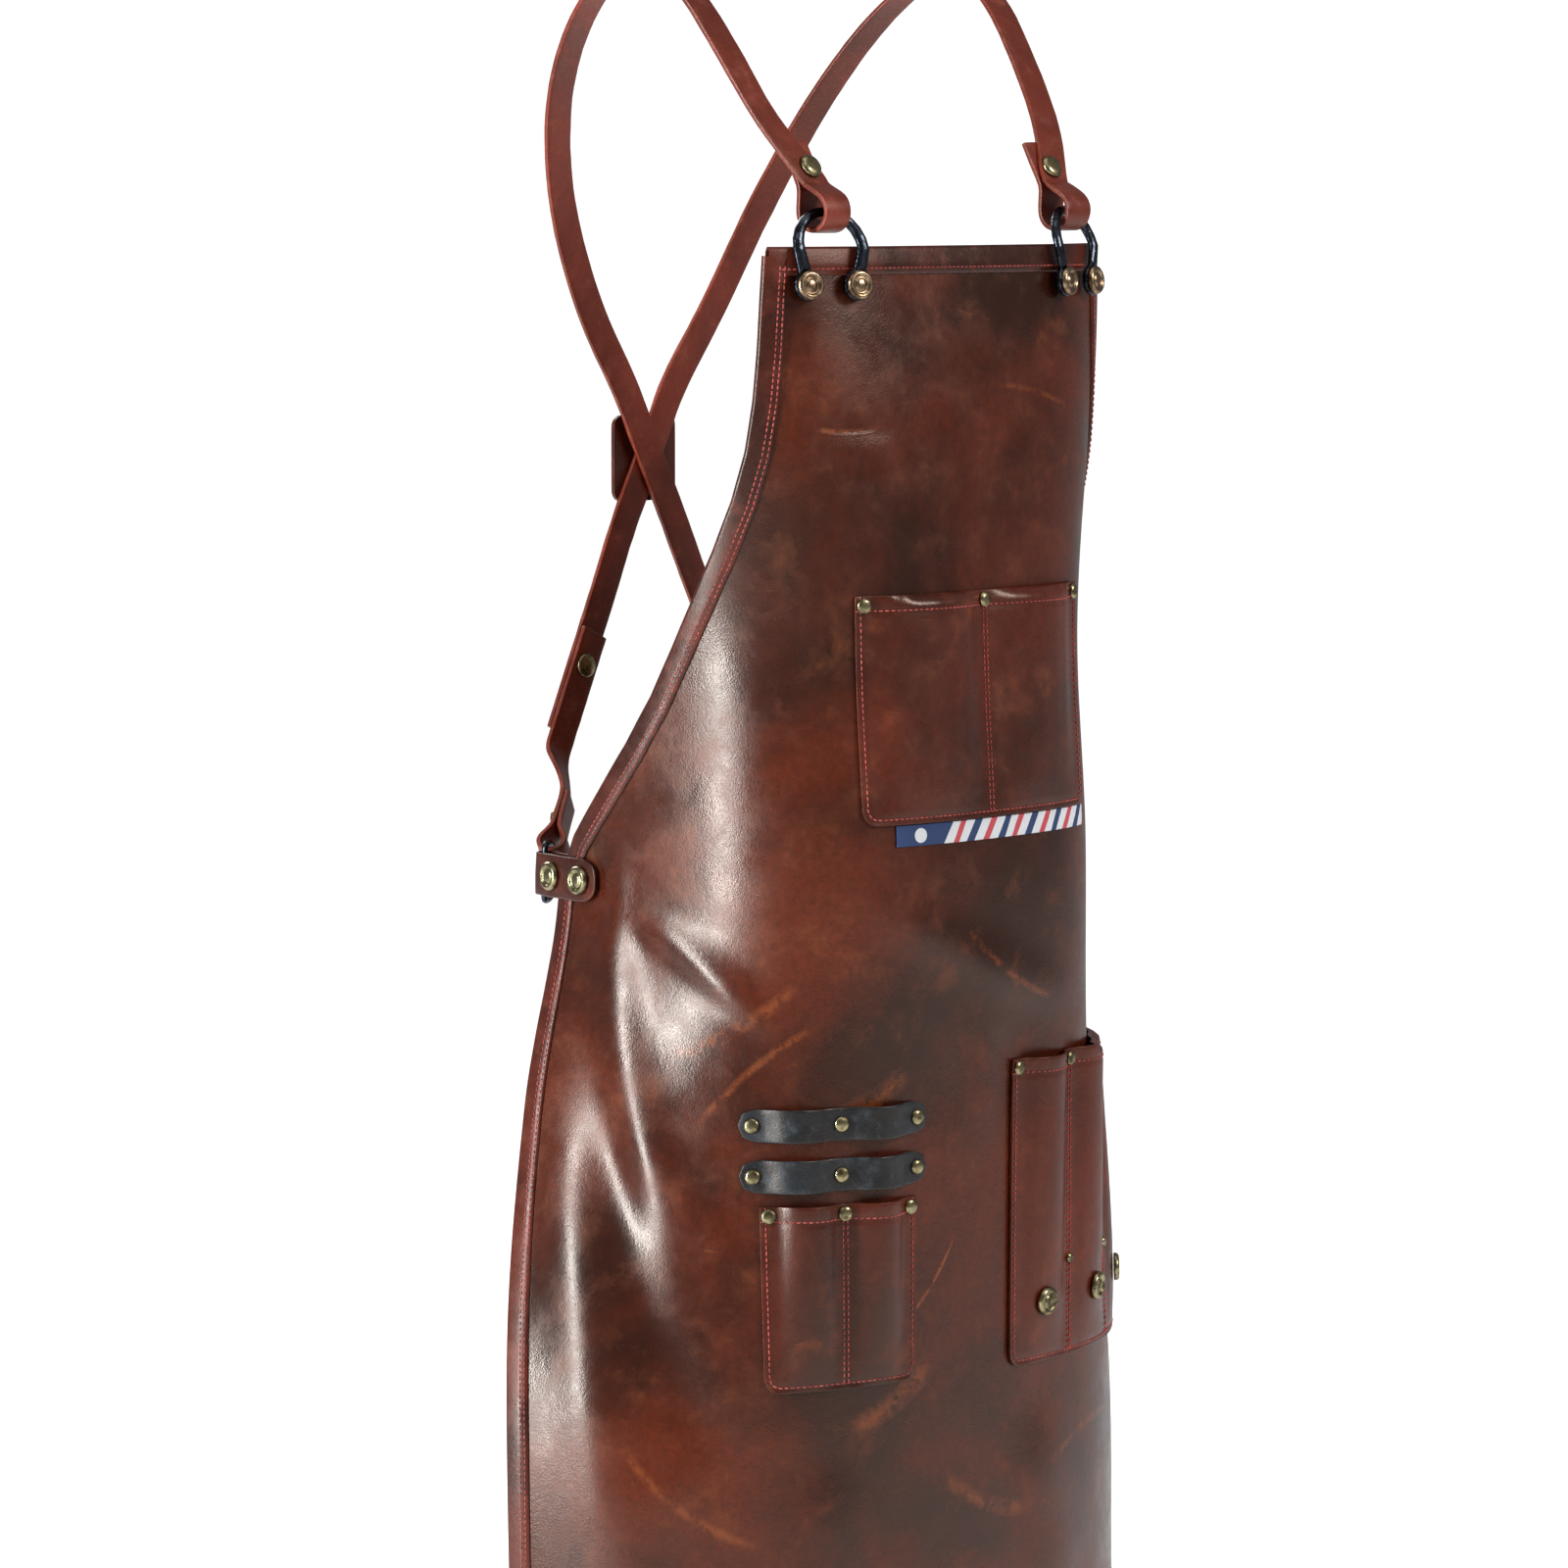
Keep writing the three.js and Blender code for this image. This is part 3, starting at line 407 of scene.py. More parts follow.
def shell(name: str, front: Array, back: Array, uv: Array) -> Object:
    """Makes a closed sheet from two matching grids of points.

    Args:
        name: The piece's name.
        front: The outer face, as rows of columns of points.
        back: The inner face, of the same shape.
        uv: The place on the leather of each grid point.

    Returns:
        The piece. Its inner face's polygons have material index 1.
    """
    rows, cols = front.shape[:2]
    count = rows * cols
    number = np.arange(count).reshape(rows, cols)
    faces: list[tuple[int, ...]] = []
    for i in range(rows - 1):
        for j in range(cols - 1):
            a, b, c, d = number[i, j], number[i, j + 1], number[i + 1, j + 1], number[i + 1, j]
            faces.append((a, b, c, d))
    outer = len(faces)
    faces += [tuple(v + count for v in reversed(face)) for face in faces]
    rim = [*number[0, :], *number[1:, -1], *number[-1, -2::-1], *number[-2:0:-1, 0]]
    faces += [
        (rim[k], rim[k - 1], rim[k - 1] + count, rim[k] + count) for k in range(len(rim))
    ]
    points = np.concatenate([front.reshape(-1, 3), back.reshape(-1, 3)])
    piece = mesh_object(name, points, faces)
    index = np.zeros(len(faces), np.int32)
    index[outer : 2 * outer] = 1
    piece.data.polygons.foreach_set("material_index", index)
    set_uv(piece, np.tile(uv.reshape(-1, 2), (2, 1)))
    outward(piece)
    return piece


def swept(name: str, rings: Array, uv: Array, closed_ends: bool = True) -> Object:
    """Makes a tube from a row of closed rings.

    Args:
        name: The piece's name.
        rings: Rings of points, as rings by points by three.
        uv: One pair for each ring point.
        closed_ends: Whether the two end rings are filled.

    Returns:
        The piece.
    """
    count, size = rings.shape[:2]
    faces: list[tuple[int, ...]] = []
    for i in range(count - 1):
        for j in range(size):
            k = (j + 1) % size
            faces.append((i * size + j, i * size + k, (i + 1) * size + k, (i + 1) * size + j))
    if closed_ends:
        faces.append(tuple(reversed(range(size))))
        faces.append(tuple(range((count - 1) * size, count * size)))
    piece = mesh_object(name, rings.reshape(-1, 3), faces)
    set_uv(piece, uv.reshape(-1, 2))
    outward(piece)
    return piece


# ---- Finishes ----
class NodeBench:
    """A short way to add and join nodes in one tree."""

    def __init__(self, tree: Tree) -> None:
        """Keeps the tree that nodes are added to."""
        self.tree = tree

    def add(self, kind: str, inputs: dict[str | int, object] | None = None, **settings: object) -> Node:
        """Adds a node.

        Args:
            kind: The node's type name.
            inputs: Values or sockets for its inputs, by name or number.
            settings: Its own properties.

        Returns:
            The new node.
        """
        node = self.tree.nodes.new(kind)
        for key, value in settings.items():
            setattr(node, key, value)
        for key, value in (inputs or {}).items():
            if isinstance(value, Socket):
                self.tree.links.new(value, node.inputs[key])
            else:
                node.inputs[key].default_value = value
        return node

    def group(self, made: Tree, inputs: dict[str, object]) -> Node:
        """Adds a group node of a shader group, with its inputs."""
        node = self.tree.nodes.new("ShaderNodeGroup")
        node.node_tree = made
        for key, value in inputs.items():
            if isinstance(value, Socket):
                self.tree.links.new(value, node.inputs[key])
            else:
                node.inputs[key].default_value = value
        return node

    def math(self, operation: str, *values: object) -> Socket:
        """Adds a math node and returns its result."""
        return self.add("ShaderNodeMath", dict(enumerate(values)), operation=operation).outputs[0]

    def vector(self, operation: str, *values: object) -> Node:
        """Adds a vector math node."""
        return self.add("ShaderNodeVectorMath", dict(enumerate(values)), operation=operation)

    def spread(self, value: Socket, low: float, high: float, to: Place = (0, 1)) -> Socket:
        """Maps a value smoothly from low..high to another range."""
        ends = {0: value, 1: low, 2: high, 3: to[0], 4: to[1]}
        return self.add("ShaderNodeMapRange", ends, interpolation_type="SMOOTHSTEP").outputs[0]

    def blend(self, share: object, first: object, second: object, mode: str = "MIX") -> Socket:
        """Blends two colours."""
        ends = {0: share, 6: first, 7: second}
        return self.add("ShaderNodeMix", ends, data_type="RGBA", blend_type=mode).outputs[2]

    def noise(
        self,
        place: Socket,
        scale: float | Socket,
        detail: float = 4,
        rough: float = 0.55,
        twist: float = 0,
    ) -> Socket:
        """Adds a noise texture and returns its value."""
        inputs = {"Vector": place, "Scale": scale, "Detail": detail, "Roughness": rough, "Distortion": twist}
        return self.add("ShaderNodeTexNoise", inputs).outputs[0]


def rgba(color: Color) -> tuple[float, float, float, float]:
    """Turns a screen colour of 0 to 255 into a linear one with alpha."""
    linear = [(c / 255 / 12.92) if c <= 10 else ((c / 255 + 0.055) / 1.055) ** 2.4 for c in color]
    return (*linear, 1.0)


def mark_group() -> Tree:
    """Makes the shader group that masks one long mark between two places.

    Returns:
        The group, with inputs Place, From, To, Bow and Width and output Mask.
    """
    if "leather_mark" in bpy.data.node_groups:
        return bpy.data.node_groups["leather_mark"]
    inputs = {"Place": "Vector", "From": "Vector", "To": "Vector", "Bow": "Float", "Width": "Float"}
    tree = new_group("leather_mark", inputs, {"Mask": "Float"})
    bench = NodeBench(tree)
    start = bench.add("NodeGroupInput")
    end = bench.add("NodeGroupOutput")
    run = bench.vector("SUBTRACT", start.outputs["To"], start.outputs["From"]).outputs[0]
    away = bench.vector("SUBTRACT", start.outputs["Place"], start.outputs["From"]).outputs[0]
    length = bench.vector("LENGTH", run).outputs[1]
    reach = bench.vector("DOT_PRODUCT", away, run).outputs[1]
    along = bench.math("DIVIDE", reach, bench.math("MULTIPLY", length, length))
    side = bench.vector("CROSS_PRODUCT", run, (0.0, 0.0, 1.0)).outputs[0]
    aside = bench.math("DIVIDE", bench.vector("DOT_PRODUCT", away, side).outputs[1], length)
    hump = bench.math("MULTIPLY", along, bench.math("SUBTRACT", 1.0, along))
    arch = bench.math("MULTIPLY", hump, bench.math("MULTIPLY", start.outputs["Bow"], 4.0))
    off = bench.math("ABSOLUTE", bench.math("SUBTRACT", aside, arch))
    share = bench.math("MINIMUM", bench.math("DIVIDE", off, start.outputs["Width"]), 1.0)
    across = bench.math("SUBTRACT", 1.0, share)
    ends = bench.math("MULTIPLY", bench.spread(along, 0.0, 0.15), bench.spread(along, 1.0, 0.8))
    tree.links.new(bench.math("MULTIPLY", across, ends), end.inputs["Mask"])
    return tree


def new_group(name: str, inputs: dict[str, str], outputs: dict[str, str]) -> Tree:
    """Makes an empty shader group with named sockets.

    Args:
        name: The group's name.
        inputs: Each input's name and kind, one of Vector, Float and Color.
        outputs: The same for the outputs.

    Returns:
        The group.
    """
    tree = bpy.data.node_groups.new(name, "ShaderNodeTree")
    for sockets, way in ((inputs, "INPUT"), (outputs, "OUTPUT")):
        for label, kind in sockets.items():
            tree.interface.new_socket(label, in_out=way, socket_type=f"NodeSocket{kind}")
    return tree


def leather_group() -> Tree:
    """Makes the shader group for a leather's mottling, scuffs, hair scratches and grain.

    Returns:
        The group, with outputs Color, Roughness and Height.
    """
    if "leather_face" in bpy.data.node_groups:
        return bpy.data.node_groups["leather_face"]
    inputs = {"Place": "Vector", "Dark": "Color", "Base": "Color", "Light": "Color"}
    inputs |= {key: "Float" for key in ("Patches", "Scuffs", "Cells", "Depth", "Glossy", "Matt")}
    tree = new_group("leather_face", inputs, {"Color": "Color", "Roughness": "Float", "Height": "Float"})
    bench = NodeBench(tree)
    start, end = bench.add("NodeGroupInput").outputs, bench.add("NodeGroupOutput")
    place, scuffs, depth = start["Place"], start["Scuffs"], start["Depth"]
    wide = bench.noise(place, start["Patches"], 5, 0.6, 0.4)
    mottle = bench.noise(place, bench.math("MULTIPLY", start["Patches"], 6.0), 7, 0.65, 0.3)
    fine = bench.noise(place, bench.math("MULTIPLY", start["Patches"], 40.0), 4, 0.6)
    color = bench.blend(bench.spread(wide, 0.36, 0.66), start["Dark"], start["Base"])
    rubbed = bench.math("MULTIPLY", bench.spread(mottle, 0.5, 0.78), scuffs)
    color = bench.blend(rubbed, color, start["Light"])
    color = bench.blend(bench.spread(fine, 0.3, 0.7, (0.0, 0.35)), color, start["Dark"])
    slanted = {0: place, "Rotation": (0.3, 0.5, 0.2), "Scale": (22, 22, 190)}
    hairs = bench.noise(bench.add("ShaderNodeMapping", slanted).outputs[0], 1.0, 5, 0.6, 1.5)
    worn = bench.spread(mottle, 0.42, 0.62, (0.0, scuffs))
    hair = bench.math("MULTIPLY", bench.spread(hairs, 0.66, 0.74), worn)
    color = bench.blend(hair, color, start["Light"])
    pores = {"Vector": place, "Scale": start["Cells"], "Randomness": 0.9}
    cells = bench.add("ShaderNodeTexVoronoi", pores, feature="F1").outputs["Distance"]
    relief = bench.math("MULTIPLY", fine, 1.6)
    relief = bench.math("ADD", relief, bench.math("MULTIPLY", mottle, 3.0))
    height = bench.math("MULTIPLY", bench.math("SUBTRACT", relief, cells), depth)
    gloss = bench.math("ADD", bench.math("MULTIPLY", mottle, 0.6), bench.math("MULTIPLY", wide, 0.4))
    rough = bench.spread(gloss, 0.35, 0.65, (start["Glossy"], start["Matt"]))
    for key, value in (("Color", color), ("Roughness", rough), ("Height", height)):
        tree.links.new(value, end.inputs[key])
    return tree


def metal_group() -> Tree:
    """Makes the shader group for a metal's tarnish and fine scratches.

    Returns:
        The group, with outputs Color, Tarnish and Scratch.
    """
    if "metal_face" in bpy.data.node_groups:
        return bpy.data.node_groups["metal_face"]
    inputs = {"Place": "Vector", "Bright": "Color", "Dull": "Color", "Patches": "Float"}
    tree = new_group("metal_face", inputs, {"Color": "Color", "Tarnish": "Float", "Scratch": "Float"})
    bench = NodeBench(tree)
    start, end = bench.add("NodeGroupInput").outputs, bench.add("NodeGroupOutput")
    tarnish = bench.spread(bench.noise(start["Place"], start["Patches"], 5, 0.6), 0.38, 0.66)
    color = bench.blend(tarnish, start["Bright"], start["Dull"])
    scratch = bench.noise(start["Place"], bench.math("MULTIPLY", start["Patches"], 8.0), 3, 0.6)
    for key, value in (("Color", color), ("Tarnish", tarnish), ("Scratch", scratch)):
        tree.links.new(value, end.inputs[key])
    return tree


@dataclass(frozen=True)
class Mark:
    """A scratch, scuff or crease in the leather's face, between two (u, z) places. Its lightening is wear,
    except on the crease below the wearer's right bow, where it is a painted highlight.
    """

    start: tuple[float, float]
    end: tuple[float, float]
    width: float
    bow: float = 0.0
    light: float = 0.7
    depth: float = 0.0


@dataclass(frozen=True)
class LeatherFinish:
    """A leather's colours, gloss and grain."""

    name: str
    dark: Color
    base: Color
    light: Color
    roughness: tuple[float, float] = (0.3, 0.5)
    grain: float = 1.1 * MM
    grain_depth: float = 0.05
    scuffs: float = 0.5
    patches: float = 6.0
    marks: tuple[Mark, ...] = ()

    def material(self) -> Material:
        """Builds the finish's material.

        Returns:
            The material.
        """
        made = bpy.data.materials.new(self.name)
        made.use_nodes = True
        tree = made.node_tree
        bench = NodeBench(tree)
        shader = tree.nodes["Principled BSDF"]
        place = bench.add("ShaderNodeTexCoord").outputs["Object"]
        grain = bench.group(
            leather_group(),
            {
                "Place": place,
                "Dark": rgba(self.dark),
                "Base": rgba(self.base),
                "Light": rgba(self.light),
                "Patches": self.patches,
                "Scuffs": self.scuffs,
                "Cells": 1 / self.grain,
                "Depth": self.grain_depth,
                "Glossy": self.roughness[0],
                "Matt": self.roughness[1],
            },
        )
        color, rough, height = (grain.outputs[key] for key in ("Color", "Roughness", "Height"))
        if self.marks:
            lay = bench.add("ShaderNodeUVMap", uv_map="lay").outputs[0]
            broken = bench.spread(bench.noise(place, 130, 4, 0.7), 0.36, 0.6)
            for mark in self.marks:
                inputs = {"Place": lay, "Bow": mark.bow, "Width": mark.width}
                inputs |= {"From": (*mark.start, 0.0), "To": (*mark.end, 0.0)}
                mask = bench.group(mark_group(), inputs).outputs["Mask"]
                shown = bench.math("MULTIPLY", bench.math("MULTIPLY", mask, broken), mark.light)
                # Lightens each mark towards the light colour: wear, and on the crease below the wearer's
                # right bow a painted highlight.
                color = bench.blend(shown, color, rgba(self.light))
                if mark.depth:
                    height = bench.math("ADD", height, bench.math("MULTIPLY", mask, mark.depth))
        bump = bench.add("ShaderNodeBump", {"Strength": 1.0, "Distance": 1.0 * MM, "Height": height})
        tree.links.new(color, shader.inputs["Base Color"])
        tree.links.new(rough, shader.inputs["Roughness"])
        tree.links.new(bump.outputs[0], shader.inputs["Normal"])
        shader.inputs["Specular Tint"].default_value = (1.0, 0.8, 0.68, 1.0)
        return made


@dataclass(frozen=True)
class MetalFinish:
    """A metal's colours, gloss and tarnish."""

    name: str
    bright: Color
    dull: Color
    roughness: tuple[float, float] = (0.2, 0.45)
    metallic: float = 1.0
    patches: float = 180.0

    def material(self) -> Material:
        """Builds the finish's material."""
        made = bpy.data.materials.new(self.name)
        made.use_nodes = True
        tree = made.node_tree
        bench = NodeBench(tree)
        shader = tree.nodes["Principled BSDF"]
        place = bench.add("ShaderNodeTexCoord").outputs["Object"]
        inputs = {"Place": place, "Bright": rgba(self.bright), "Dull": rgba(self.dull)}
        inputs["Patches"] = self.patches
        face = bench.group(metal_group(), inputs)
        color, tarnish, scratch = (face.outputs[key] for key in ("Color", "Tarnish", "Scratch"))
        bump = bench.add("ShaderNodeBump", {"Strength": 0.5, "Distance": 0.06 * MM, "Height": scratch})
        tree.links.new(color, shader.inputs["Base Color"])
        tree.links.new(bench.spread(tarnish, 0.0, 1.0, self.roughness), shader.inputs["Roughness"])
        tree.links.new(bump.outputs[0], shader.inputs["Normal"])
        shader.inputs["Metallic"].default_value = self.metallic
        return made


@dataclass(frozen=True)
class TapeFinish:
    """A woven tape with slanted stripes and a plain ground at one end."""

    name: str
    ground: Color
    stripe: Color
    accent: Color
    start: float
    period: float
    dot: float
    middle: float

    def material(self) -> Material:
        """Builds the finish's material. It reads the lay map, in metres."""
        made = bpy.data.materials.new(self.name)
        made.use_nodes = True
        tree = made.node_tree
        bench = NodeBench(tree)
        shader = tree.nodes["Principled BSDF"]
        parts = bench.add("ShaderNodeSeparateXYZ", {0: bench.add("ShaderNodeUVMap", uv_map="lay").outputs[0]})
        rise = bench.math("SUBTRACT", parts.outputs[1], self.middle)
        slant = bench.math("SUBTRACT", parts.outputs[0], bench.math("MULTIPLY", rise, 0.62))
        from_start = bench.math("SUBTRACT", slant, self.start)
        phase = bench.math("FRACT", bench.math("DIVIDE", from_start, self.period))
        white = bench.math("LESS_THAN", phase, 0.76)
        red = bench.math("LESS_THAN", bench.math("ABSOLUTE", bench.math("SUBTRACT", phase, 0.38)), 0.1)
        past = bench.math("GREATER_THAN", from_start, 0.0)
        aside = bench.math("SUBTRACT", parts.outputs[0], self.dot)
        squares = (bench.math("MULTIPLY", aside, aside), bench.math("MULTIPLY", rise, rise))
        apart = bench.math("SQRT", bench.math("ADD", *squares))
        dot = bench.math("LESS_THAN", apart, 4.2 * MM)
        color = bench.blend(bench.math("MULTIPLY", white, past), rgba(self.ground), rgba(self.stripe))
        color = bench.blend(bench.math("MULTIPLY", red, past), color, rgba(self.accent))
        color = bench.blend(dot, color, rgba(self.stripe))
        warp = bench.math("SINE", bench.math("MULTIPLY", parts.outputs[0], 2 * math.pi / (0.7 * MM)))
        weft = bench.math("SINE", bench.math("MULTIPLY", parts.outputs[1], 2 * math.pi / (0.5 * MM)))
        weave = bench.math("MULTIPLY", warp, weft)
        # Painted shade: the low places of the weave are darkened towards black, by up to 30 percent.
        color = bench.blend(bench.spread(weave, -1.0, 1.0, (0.3, 0.0)), color, (0.01, 0.01, 0.015, 1.0))
        bump = bench.add("ShaderNodeBump", {"Strength": 0.6, "Distance": 0.15 * MM, "Height": weave})
        tree.links.new(color, shader.inputs["Base Color"])
        tree.links.new(bump.outputs[0], shader.inputs["Normal"])
        shader.inputs["Roughness"].default_value = 0.75
        return made


@dataclass(frozen=True)
class ThreadFinish:
    """Waxed sewing thread."""

    name: str
    color: Color
    worn: Color

    def material(self) -> Material:
        """Builds the finish's material."""
        made = bpy.data.materials.new(self.name)
        made.use_nodes = True
        tree = made.node_tree
        bench = NodeBench(tree)
        shader = tree.nodes["Principled BSDF"]
        place = bench.add("ShaderNodeTexCoord").outputs["Object"]
        worn = bench.spread(bench.noise(place, 90, 4, 0.6), 0.4, 0.62)
        tree.links.new(bench.blend(worn, rgba(self.color), rgba(self.worn)), shader.inputs["Base Color"])
        shader.inputs["Roughness"].default_value = 0.6
        return made


# ---- Repeated pieces ----
def lathed(name: str, outline: Sequence[tuple[float, float]], sides: int) -> Object:
    """Turns an outline about Z into a closed solid whose base lies at z = 0.

    Args:
        name: The object's name.
        outline: (radius, height) places from the base's rim to the axis on top.
        sides: How many steps the turn has.

    Returns:
        The solid.
    """
    points = [(0.0, 0.0, 0.0)]
    for radius, height in outline[:-1]:
        for k in range(sides):
            turn = 2 * math.pi * k / sides
            points.append((radius * math.cos(turn), radius * math.sin(turn), height))
    points.append((0.0, 0.0, outline[-1][1]))
    rings = len(outline) - 1
    faces: list[tuple[int, ...]] = []
    for k in range(sides):
        n = (k + 1) % sides
        faces.append((0, 1 + n, 1 + k))
        for r in range(rings - 1):
            low, high = 1 + r * sides, 1 + (r + 1) * sides
            faces.append((low + k, low + n, high + n, high + k))
        last = 1 + (rings - 1) * sides
        faces.append((last + k, last + n, len(points) - 1))
    return mesh_object(name, np.array(points), faces)


class Scatter:
    """A Geometry Nodes tree that sets one shape on every point or step of a line."""

    def __init__(self, name: str, along: bool) -> None:
        """Builds the tree.

        Args:
            name: The tree's name.
            along: Whether the shape repeats along lines instead of on points.
        """
        self.tree = bpy.data.node_groups.new(name, "GeometryNodeTree")
        face = self.tree.interface
        face.new_socket("Places", in_out="INPUT", socket_type="NodeSocketGeometry")
        self.shape = face.new_socket("Shape", in_out="INPUT", socket_type="NodeSocketObject").identifier
        self.pitch = face.new_socket("Pitch", in_out="INPUT", socket_type="NodeSocketFloat").identifier
        self.wobble = face.new_socket("Wobble", in_out="INPUT", socket_type="NodeSocketFloat").identifier
        self.finish = face.new_socket("Finish", in_out="INPUT", socket_type="NodeSocketMaterial").identifier
        face.new_socket("Made", in_out="OUTPUT", socket_type="NodeSocketGeometry")
        bench = NodeBench(self.tree)
        start, end = bench.add("NodeGroupInput"), bench.add("NodeGroupOutput")
        places = start.outputs["Places"]
        if along:
            lines = bench.add("GeometryNodeMeshToCurve", {0: places}).outputs[0]
            inputs = {"Curve": lines, "Length": start.outputs["Pitch"]}
            places = bench.add("GeometryNodeResampleCurve", inputs, mode="LENGTH").outputs[0]
            run = bench.add("GeometryNodeInputTangent").outputs[0]
        else:
            run = self._stored(bench, "run")
        ways = {"primary_axis": "Z", "secondary_axis": "X"}
        axes = {0: self._stored(bench, "out"), 1: run}
        turn = bench.add("FunctionNodeAxesToRotation", axes, **ways).outputs[0]
        low = bench.math("SUBTRACT", 0.0, start.outputs["Wobble"])
        ends = {"Min": low, "Max": start.outputs["Wobble"], "Seed": SEED}
        lean = bench.add("FunctionNodeRandomValue", ends, data_type="FLOAT").outputs[1]
        swing = bench.add("ShaderNodeCombineXYZ", {2: lean}).outputs[0]
        own = {0: turn, 1: swing}
        turned = bench.add("FunctionNodeRotateRotation", own, rotation_space="LOCAL").outputs[0]
        source = bench.add("GeometryNodeObjectInfo", {"Object": start.outputs["Shape"]}).outputs["Geometry"]
        inputs = {"Points": places, "Instance": source, "Rotation": turned}
        copies = bench.add("GeometryNodeInstanceOnPoints", inputs).outputs[0]
        real = bench.add("GeometryNodeRealizeInstances", {0: copies}).outputs[0]
        inputs = {"Geometry": real, "Material": start.outputs["Finish"]}
        done = bench.add("GeometryNodeSetMaterial", inputs).outputs[0]
        self.tree.links.new(done, end.inputs[0])

    @staticmethod
    def _stored(bench: NodeBench, label: str) -> Socket:
        """Returns a vector that the mesh of places stores under a name."""
        kind = "GeometryNodeInputNamedAttribute"
        return bench.add(kind, {"Name": label}, data_type="FLOAT_VECTOR").outputs[0]

    def spread(
        self,
        name: str,
        places: Object,
        shape: Object,
        finish: Material,
        pitch: float = 0.0,
        wobble: float = 0.0,
    ) -> Object:
        """Sets the shape over a mesh of places and keeps the result as a plain mesh.

        Args:
            name: The new piece's name.
            places: The mesh of points or lines, with vector attributes out and run.
            shape: The object that is repeated.
            finish: The copies' material.
            pitch: The step along the lines.
            wobble: The most that a copy is turned about its own axis, in radians.

        Returns:
            The piece.
        """
        modifier = places.modifiers.new("scatter", "NODES")
        modifier.node_group = self.tree
        modifier[self.shape] = shape
        modifier[self.pitch] = pitch
        modifier[self.wobble] = wobble
        modifier[self.finish] = finish
        finished(places)
        places.name = name
        places.data.name = name
        return places


def places_mesh(
    name: str,
    points: Array,
    out: Array,
    run: Array,
    edges: Sequence[tuple[int, int]] = (),
) -> Object:
    """Makes the mesh of points or lines that a shape is spread over.

    Args:
        name: The mesh's name.
        points: The places.
        out: The direction away from the surface at each place.
        run: The direction that the shape's X takes there.
        edges: The lines between places.

    Returns:
        The object, with vector attributes out and run.
    """
    mesh = bpy.data.meshes.new(name)
    mesh.from_pydata([tuple(p) for p in points], list(edges), [])
    for label, values in (("out", out), ("run", run)):
        attribute = mesh.attributes.new(label, "FLOAT_VECTOR", "POINT")
        attribute.data.foreach_set("vector", np.asarray(values, np.float32).ravel())
    made = bpy.data.objects.new(name, mesh)
    bpy.context.scene.collection.objects.link(made)
    return made


def stitch_shape(length: float = 2.7 * MM, radius: float = 0.42 * MM) -> Object:
    """Makes one stitch along X, a short bent strand whose ends dip into the leather."""
    sides, rings = 6, []
    turn = np.linspace(0, 2 * math.pi, sides, endpoint=False)
    for share in (-1.0, -0.8, -0.35, 0.35, 0.8, 1.0):
        thick = radius * (1 - 0.55 * abs(share) ** 4)
        rise = radius * (0.75 - 1.3 * abs(share) ** 3)
        along = np.full(sides, share * length / 2)
        rings.append(np.stack([along, np.cos(turn) * thick, np.sin(turn) * thick + rise], axis=1))
    made = swept("stitch_shape", np.array(rings), np.zeros((len(rings), sides, 2)))
    made.data.shade_smooth()
    return made


@dataclass
class Seam:
    """A row of stitches along a line on the leather."""

    line: Array
    targets: tuple[Object, ...]


@dataclass
class Stitcher:
    """Sews seams: it lays each line on the pieces it joins and repeats a stitch."""

    drape: Drape
    thread: Material
    pitch: float = 3.5 * MM
    seams: list[Seam] = field(default_factory=list)

    def add(self, line: Array, *targets: Object) -> None:
        """Adds a seam.

        Args:
            line: (u, z) places along the seam.
            targets: The pieces whose outer face it lies on.
        """
        self.seams.append(Seam(np.asarray(line, float), targets))

    def sew(self, name: str) -> Object:
        """Makes all seams as one piece.

        Args:
            name: The piece's name.

        Returns:
            The stitches.
        """
        points, outs, runs, edges = [], [], [], []
        trees: dict[tuple[str, ...], BVHTree] = {}
        reach = 40 * MM
        for seam in self.seams:
            key = tuple(t.name for t in seam.targets)
            tree = trees.setdefault(key, tree_over(*seam.targets))
            spans = np.linalg.norm(np.diff(seam.line, axis=0), axis=1)
            at = np.concatenate([[0], np.cumsum(spans)])
            even = np.linspace(0, at[-1], max(2, int(at[-1] / (1.2 * MM))))
            u, z = np.interp(even, at, seam.line[:, 0]), np.interp(even, at, seam.line[:, 1])
            base, normal = self.drape.bare(u, z), self.drape.normal(u, z)
            row = []
            for b, n in zip(base, normal):
                hit = tree.ray_cast(Vector(b + n * reach), Vector(-n), 2 * reach)
                row.append((np.array(hit[0]), n) if hit[0] is not None else None)
            row = [r for r in row if r is not None]
            if len(row) < 2:
                continue
            first = len(points)
            points += [r[0] for r in row]
            outs += [r[1] for r in row]
            runs += [r[1] for r in row]
            edges += [(first + k, first + k + 1) for k in range(len(row) - 1)]
        lines = places_mesh(name, np.array(points), np.array(outs), np.array(runs), edges)
        shape = stitch_shape()
        made = Scatter("stitch_rows", along=True).spread(name, lines, shape, self.thread, self.pitch, 0.05)
        bpy.data.objects.remove(shape)
        return made


@dataclass(frozen=True)
class Seat:
    """Where a round head sits: the middle of its base, its axis, radius and height."""

    base: Array
    axis: Array
    radius: float
    height: float

    @staticmethod
    def of(node: str) -> "Seat":
        """Measures the seat of a CAD head."""
        co = np.array([v.co[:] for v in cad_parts[node].data.vertices])
        co = np.unique(np.round(co, 6), axis=0)
        middle = co.mean(0)
        _, _, axes = np.linalg.svd(co - middle)
        axis = axes[2]
        level = (co - middle) @ axis
        away = np.linalg.norm((co - middle) - np.outer(level, axis), axis=1)
        rim = level[away > 0.97 * away.max()]
        if rim.mean() > (level.min() + level.max()) / 2:
            axis, level = -axis, -level
        base = middle + axis * level.min()
        return Seat(base, axis, float(away.max()), float(level.max() - level.min()))


